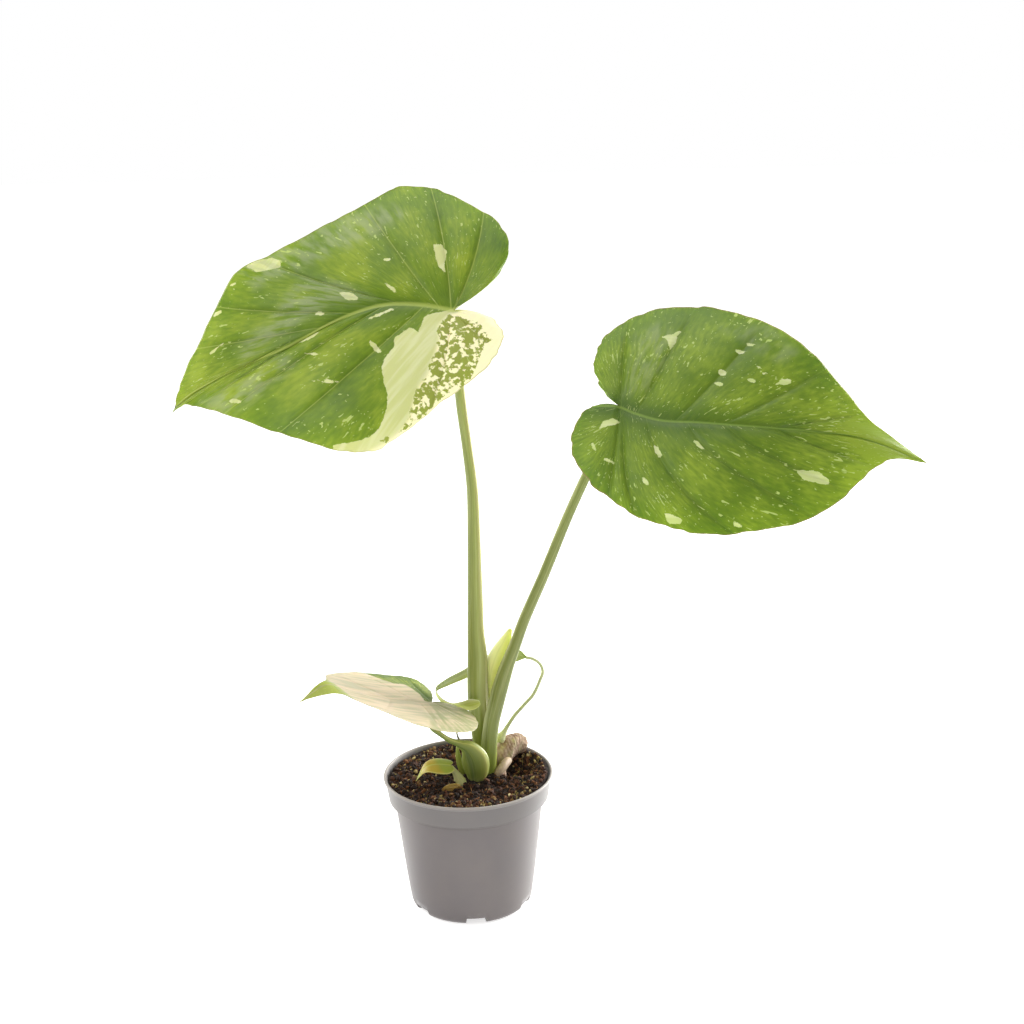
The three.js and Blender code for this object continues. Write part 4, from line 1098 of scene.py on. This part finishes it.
backStalk = {
    "piece": "back_leaf_stalk", "node": "petiole_back", "slot": "stalk", "grid": (260, 41),
    "skin": {"name": "petiole skin, thin", "foot": "#c3c796", "footLength": 14,
             "around": [(0, "#b3b78e"), (0.5, "#a3aa78")]},
    "stations": [
        (22.6, 23.3, 110.9, 3.3, 3.2), (23.4, 23.2, 113.6, 3.6, 3.4), (25.6, 23.8, 117, 2.2, 2.2),
        (28.4, 26, 121, 1.5, 1.5), (34.1, 29, 128.4, 1.4, 1.4), (40.7, 31, 135.2, 1.3, 1.3),
        (47.3, 32, 142.4, 1.3, 1.3), (52.6, 33, 153.4, 1.2, 1.2), (54.7, 33, 160, 1.2, 1.2),
        (52.8, 33, 165.7, 1.1, 1.1), (47.9, 32, 170, 1.1, 1.1), (42.6, 31, 171.8, 1.1, 1.1),
    ],
}
backBlade = {
    "piece": "back_leaf_fold", "node": "blade_back", "slot": "young_leaf", "grid": (260, 57),
    "shape": foldedShape, "upright": True,
    "skin": {"name": "folded leaf skin", "foot": "#869446", "footLength": 14, "lines": 0.15, "around": [
        (0, "#c3c5a3"), (0.13, "#b4b96a"), (0.25, "#a8b04e"), (0.4, "#b9bc62"), (0.5, "#b9bd7c"),
        (0.66, "#a7b06c"), (0.78, "#b9bf90"), (0.9, "#9ea877")]},
    "stations": [
        (43, 31, 172, 0.8, 0.8), (37, 31, 173.4, 4.6, 1), (27.9, 31, 173.2, 4.4, 1), (15.8, 31, 170.2, 4, 1),
        (0.5, 30, 161.3, 3.5, 1), (-13.2, 28, 155.5, 2.8, 0.9), (-21.6, 25, 151, 1.7, 0.8),
        (-19, 17, 147.5, 1.7, 0.8), (-10.6, 10.5, 144.8, 1.8, 0.8), (-3, 6.6, 146, 3, 0.7),
        (4, 4.2, 147.6, 4.2, 0.7), (9.8, 3, 149.6, 1.8, 0.6),
    ],
}
bract = {
    "piece": "outer_bract_scale", "node": "outer_bract", "slot": "stalk", "grid": (80, 49),
    "skin": {"name": "bract skin", "foot": "#8f9a45", "footLength": 8,
             "around": [(0, "#9aa748"), (0.5, "#aab455")]},
    "stations": [
        (-1.8, 1.8, stalkFoot, 1.6, 1), (-5, 0.2, 101, 2.2, 1), (-6.6, -0.6, 110, 1.9, 0.9),
        (-7.2, -1.4, 118.6, 0.7, 0.6),
    ],
}
offshootStalk = {
    "piece": "offshoot_stalk", "node": "offshoot_petiole", "slot": "stalk", "grid": (90, 49),
    "shape": lumpy(4, 0.25, 31),
    "skin": {"name": "shoot skin", "foot": "#d0c696", "footLength": 12,
             "around": [(0, "#bfc07c"), (0.5, "#cbc98c")]},
    "stations": [
        (-5.0, -11.5, 86, 3.4, 3.2), (-5.2, -11.4, 93.5, 4.7, 4.2), (-6.6, -11.2, 98.5, 3.6, 3.2),
        (-9.0, -11, 103, 2.2, 2.1), (-11.7, -11.1, 107.8, 1.2, 1.2),
    ],
}
witheredTip = {
    "piece": "withered_thread", "node": "withered_tip", "slot": "dried_scale", "grid": (50, 25),
    "skin": {"name": "dried thread, papery", "foot": "#8d8a78", "footLength": 2, "lines": 0.4,
             "roughness": 0.8, "around": [(0, "#9a978a"), (0.5, "#85826f")]},
    "stations": [(-5.4, -4.8, 124.4, 0.9, 0.7), (-6.4, -3.4, 126.4, 0.7, 0.6), (-7.4, -2, 130.4, 0.5, 0.5)],
}
# the scale lies on the mix at its place, and its stations count from there
oldScale = {
    "piece": "old_scale_leaf", "node": "old_cataphyll", "slot": "dried_scale", "grid": (70, 41),
    "shape": lumpy(3, 0.35, 41), "place": (-11.6, -20.5), "lift": 2,
    "skin": {"name": "dried scale, papery", "foot": "#8f6a2c", "footLength": 4, "lines": 0.5,
             "roughness": 0.8, "around": [(0, "#b7923f"), (0.5, "#a97f34")]},
    "stations": [(-6.4, -2, 0, 0.9, 0.6), (-3.2, -1, 0.5, 2.4, 1), (3.2, 1.5, 0.7, 2.4, 1),
                 (6.4, 3.4, 0.3, 1, 0.7)],
}
stubStem = {
    "piece": "old_stem_stub", "node": "rhizome_stub", "slot": "old_stem", "grid": (160, 81),
    "shape": lumpy(3, 0.9, 51),
    "stations": [
        (23.3, 18.6, stalkFoot, 5, 5), (24.6, 20.6, 99.5, 7, 7), (28.6, 25.8, 104.4, 7.8, 7.8),
        (33, 29.6, 105.8, 7.2, 7.2), (37.6, 33, 105.8, 7, 6.4), (40.4, 35, 105.4, 4.2, 4),
    ],
}
crownStem = {
    "piece": "crown_stem", "node": "crown", "slot": "old_stem", "grid": (60, 65), "flatEnd": True,
    "stations": [(13, 7.5, 66, 8, 8), (13, 7.5, 76, 12, 11.5), (13, 7.5, 87, 14, 13.5),
                 (13, 7.5, crownTop, 14, 13.5)],
}
rootLeg = {
    "piece": "anchor_root_skin", "node": "anchor_root", "slot": "root", "grid": (90, 41),
    "shape": lumpy(3, 0.2, 61),
    "skin": {"name": "root skin", "foot": "#c6b496", "footLength": 6, "lines": 0.15, "roughness": 0.6,
             "around": [(0, "#b9a288"), (0.5, "#ab9276")]},
    "stations": [
        (20.6, 1.2, stalkFoot, 2.4, 2.4), (21.2, 1.8, 95.6, 3, 3), (24, 5.4, 98, 3.2, 3.2),
        (27.6, 12, 99.6, 3, 3), (29, 15.6, 99.6, 2.4, 2.4),
    ],
}


def sweep(stalk):
    # rings of an ellipse along the curve; the width starts across Y and is carried without turning, or
    # is kept as near to vertical as the curve lets it. shape(angle, share) gives mm added outwards.
    # The ends close on their centres, and a foot on the crown goes on down into it.
    stations, (rows, columns) = stalk["stations"], stalk["grid"]
    x, y, z, halfWidth, halfDepth = stations[0]
    onCrown = z == stalkFoot
    if onCrown:
        stations = [(x, y, z - 4, 0.72 * halfWidth, 0.72 * halfDepth)] + stations
    share = np.linspace(0, 1, rows)
    path = smoothCurve(stations, share)
    tangent = np.gradient(path[:, :3], axis=0)
    tangent /= np.linalg.norm(tangent, axis=1, keepdims=True)
    if onCrown:
        tangent[:3] = (0, 0, 1)
    width = np.zeros((rows, 3))
    last = np.cross((0, 1, 0), tangent[0])
    for i in range(rows):
        last = np.array((0, 0, 1.0)) if stalk.get("upright") else last
        last = last - tangent[i] * (last @ tangent[i])
        last = last / np.linalg.norm(last)
        width[i] = last
    depth = np.cross(tangent, width)
    angle, shares = np.meshgrid(np.linspace(0, 2 * np.pi, columns), share)
    added = stalk["shape"](angle, shares) if "shape" in stalk else 0 * angle
    # the last 1.2 % of the curve rounds off as a quarter circle, unless the end is flat
    dome = 0.012
    end = np.sqrt(np.clip(1 - ((share - 1 + dome) / dome).clip(0, 1) ** 2, 0, 1))
    end = np.ones(rows) if stalk.get("flatEnd") else end
    half = path[:, 3:5] * end[:, None]
    added = added * end[:, None]
    ring = ((half[:, :1] + added) * np.cos(angle))[..., None] * width[:, None] \
        + ((half[:, 1:2] + added) * np.sin(angle))[..., None] * depth[:, None]
    points = path[:, None, :3] + ring
    first, final = (np.broadcast_to(points[k].mean(0), (1, columns, 3)) for k in (0, -1))
    length = np.concatenate([[0], np.cumsum(np.linalg.norm(np.diff(path[:, :3], axis=0), axis=1))])
    length = np.concatenate([[0], length, length[-1:]])
    uv = np.stack(np.meshgrid(np.linspace(0, 1, columns), length * mm), -1)
    return np.concatenate([first, points, final]), uv


def makeStalk(stalk, material):
    points, uv = sweep(stalk)
    return makePiece(stalk["piece"], points.reshape(-1, 3), gridFaces(*points.shape[:2]), material,
                     [stalk["node"]], {"around": uv.reshape(-1, 2)})


def petioleSkin(name, around, foot, footLength=40, lines=0.14, roughness=0.42):
    # smooth, slightly waxy skin over fleshy tissue, with fine lengthwise lines and another colour at the foot
    made, shader, tree, add = newMaterial(name)
    uv = add("UVMap", uv_map="around")
    split = add("SeparateXYZ", {0: uv})
    noises = []
    for times, length, detail in ((26, 60, 3), (2.5, 34, 2)):
        cells = add("Mapping", {"Vector": uv, "Scale": (times, 1 / (length * mm), 1)})
        noises.append(add("TexNoise", {"Vector": cells, "Scale": 1, "Detail": detail}, noise_dimensions="2D"))
    threads, clouds = noises
    shifted = add("Math", {0: clouds, 1: 0.1, 2: split}, operation="MULTIPLY_ADD")
    shifted = add("Math", {0: shifted, 1: 0.05}, operation="SUBTRACT")
    closed = around + [(1, around[0][1])] * (around[-1][0] < 1)
    paler = add("MapRange", {0: threads, 1: 0.5, 2: 0.68, 4: lines})
    darker = add("MapRange", {0: threads, 1: 0.46, 2: 0.3, 4: lines})
    low = add("MapRange", {0: split.outputs[1], 2: footLength * mm, 3: 1, 4: 0}, **smooth)
    colour = layered(tree, add("ValToRGB", {0: shifted}, stops=closed),
                     [("#d8dca0", paler), ("#55722a", darker), (foot, low)])
    setInputs(tree, shader, {
        "Base Color": colour, "Roughness": roughness, "Subsurface Weight": 0.2,
        "Subsurface Radius": (1.0, 1.2, 0.5), "Subsurface Scale": 2 * mm,
        "Normal": add("Bump", {"Height": threads, "Distance": 0.2 * mm, "Strength": 0.6})})
    return made


def corkSkin():
    # the pinkish brown, corky bark of an old stem, with pale lumps
    made, shader, tree, add = newMaterial("cork skin, old stem")
    place = add("TexCoord").outputs["Object"]
    lumps = add("TexNoise", {"Vector": place, "Scale": 1 / (5 * mm), "Detail": 4})
    grit = add("TexNoise", {"Vector": place, "Scale": 1 / (0.8 * mm), "Detail": 2})
    level = add("Math", {0: grit, 1: 0.35, 2: lumps}, operation="MULTIPLY_ADD")
    colour = add("ValToRGB", {0: level}, stops=[
        (0.4, "#7a604c"), (0.56, "#9c8069"), (0.72, "#ae957e"), (0.88, "#b7ab84")])
    setInputs(tree, shader, {
        "Base Color": colour, "Roughness": 0.8,
        "Normal": add("Bump", {"Height": level, "Distance": 0.6 * mm, "Strength": 0.8})})
    return made


def addStalks():
    cork = corkSkin()
    for stem in (stubStem, crownStem):
        makeStalk(stem, cork)
    x, y = oldScale["place"]
    level = mixHeight(x, y) + oldScale["lift"]
    placed = [(x + across, y + ahead, level + up, *half) for across, ahead, up, *half in oldScale["stations"]]
    for stalk in (rootLeg, leftStalk, rightStalk, lowStalk, spear, backStalk, backBlade, bract, offshootStalk,
                  witheredTip, dict(oldScale, stations=placed)):
        makeStalk(stalk, petioleSkin(**stalk["skin"]))


addCamera()
addStudio()
addPot()
addMix()
addStalks()
addLeaves()
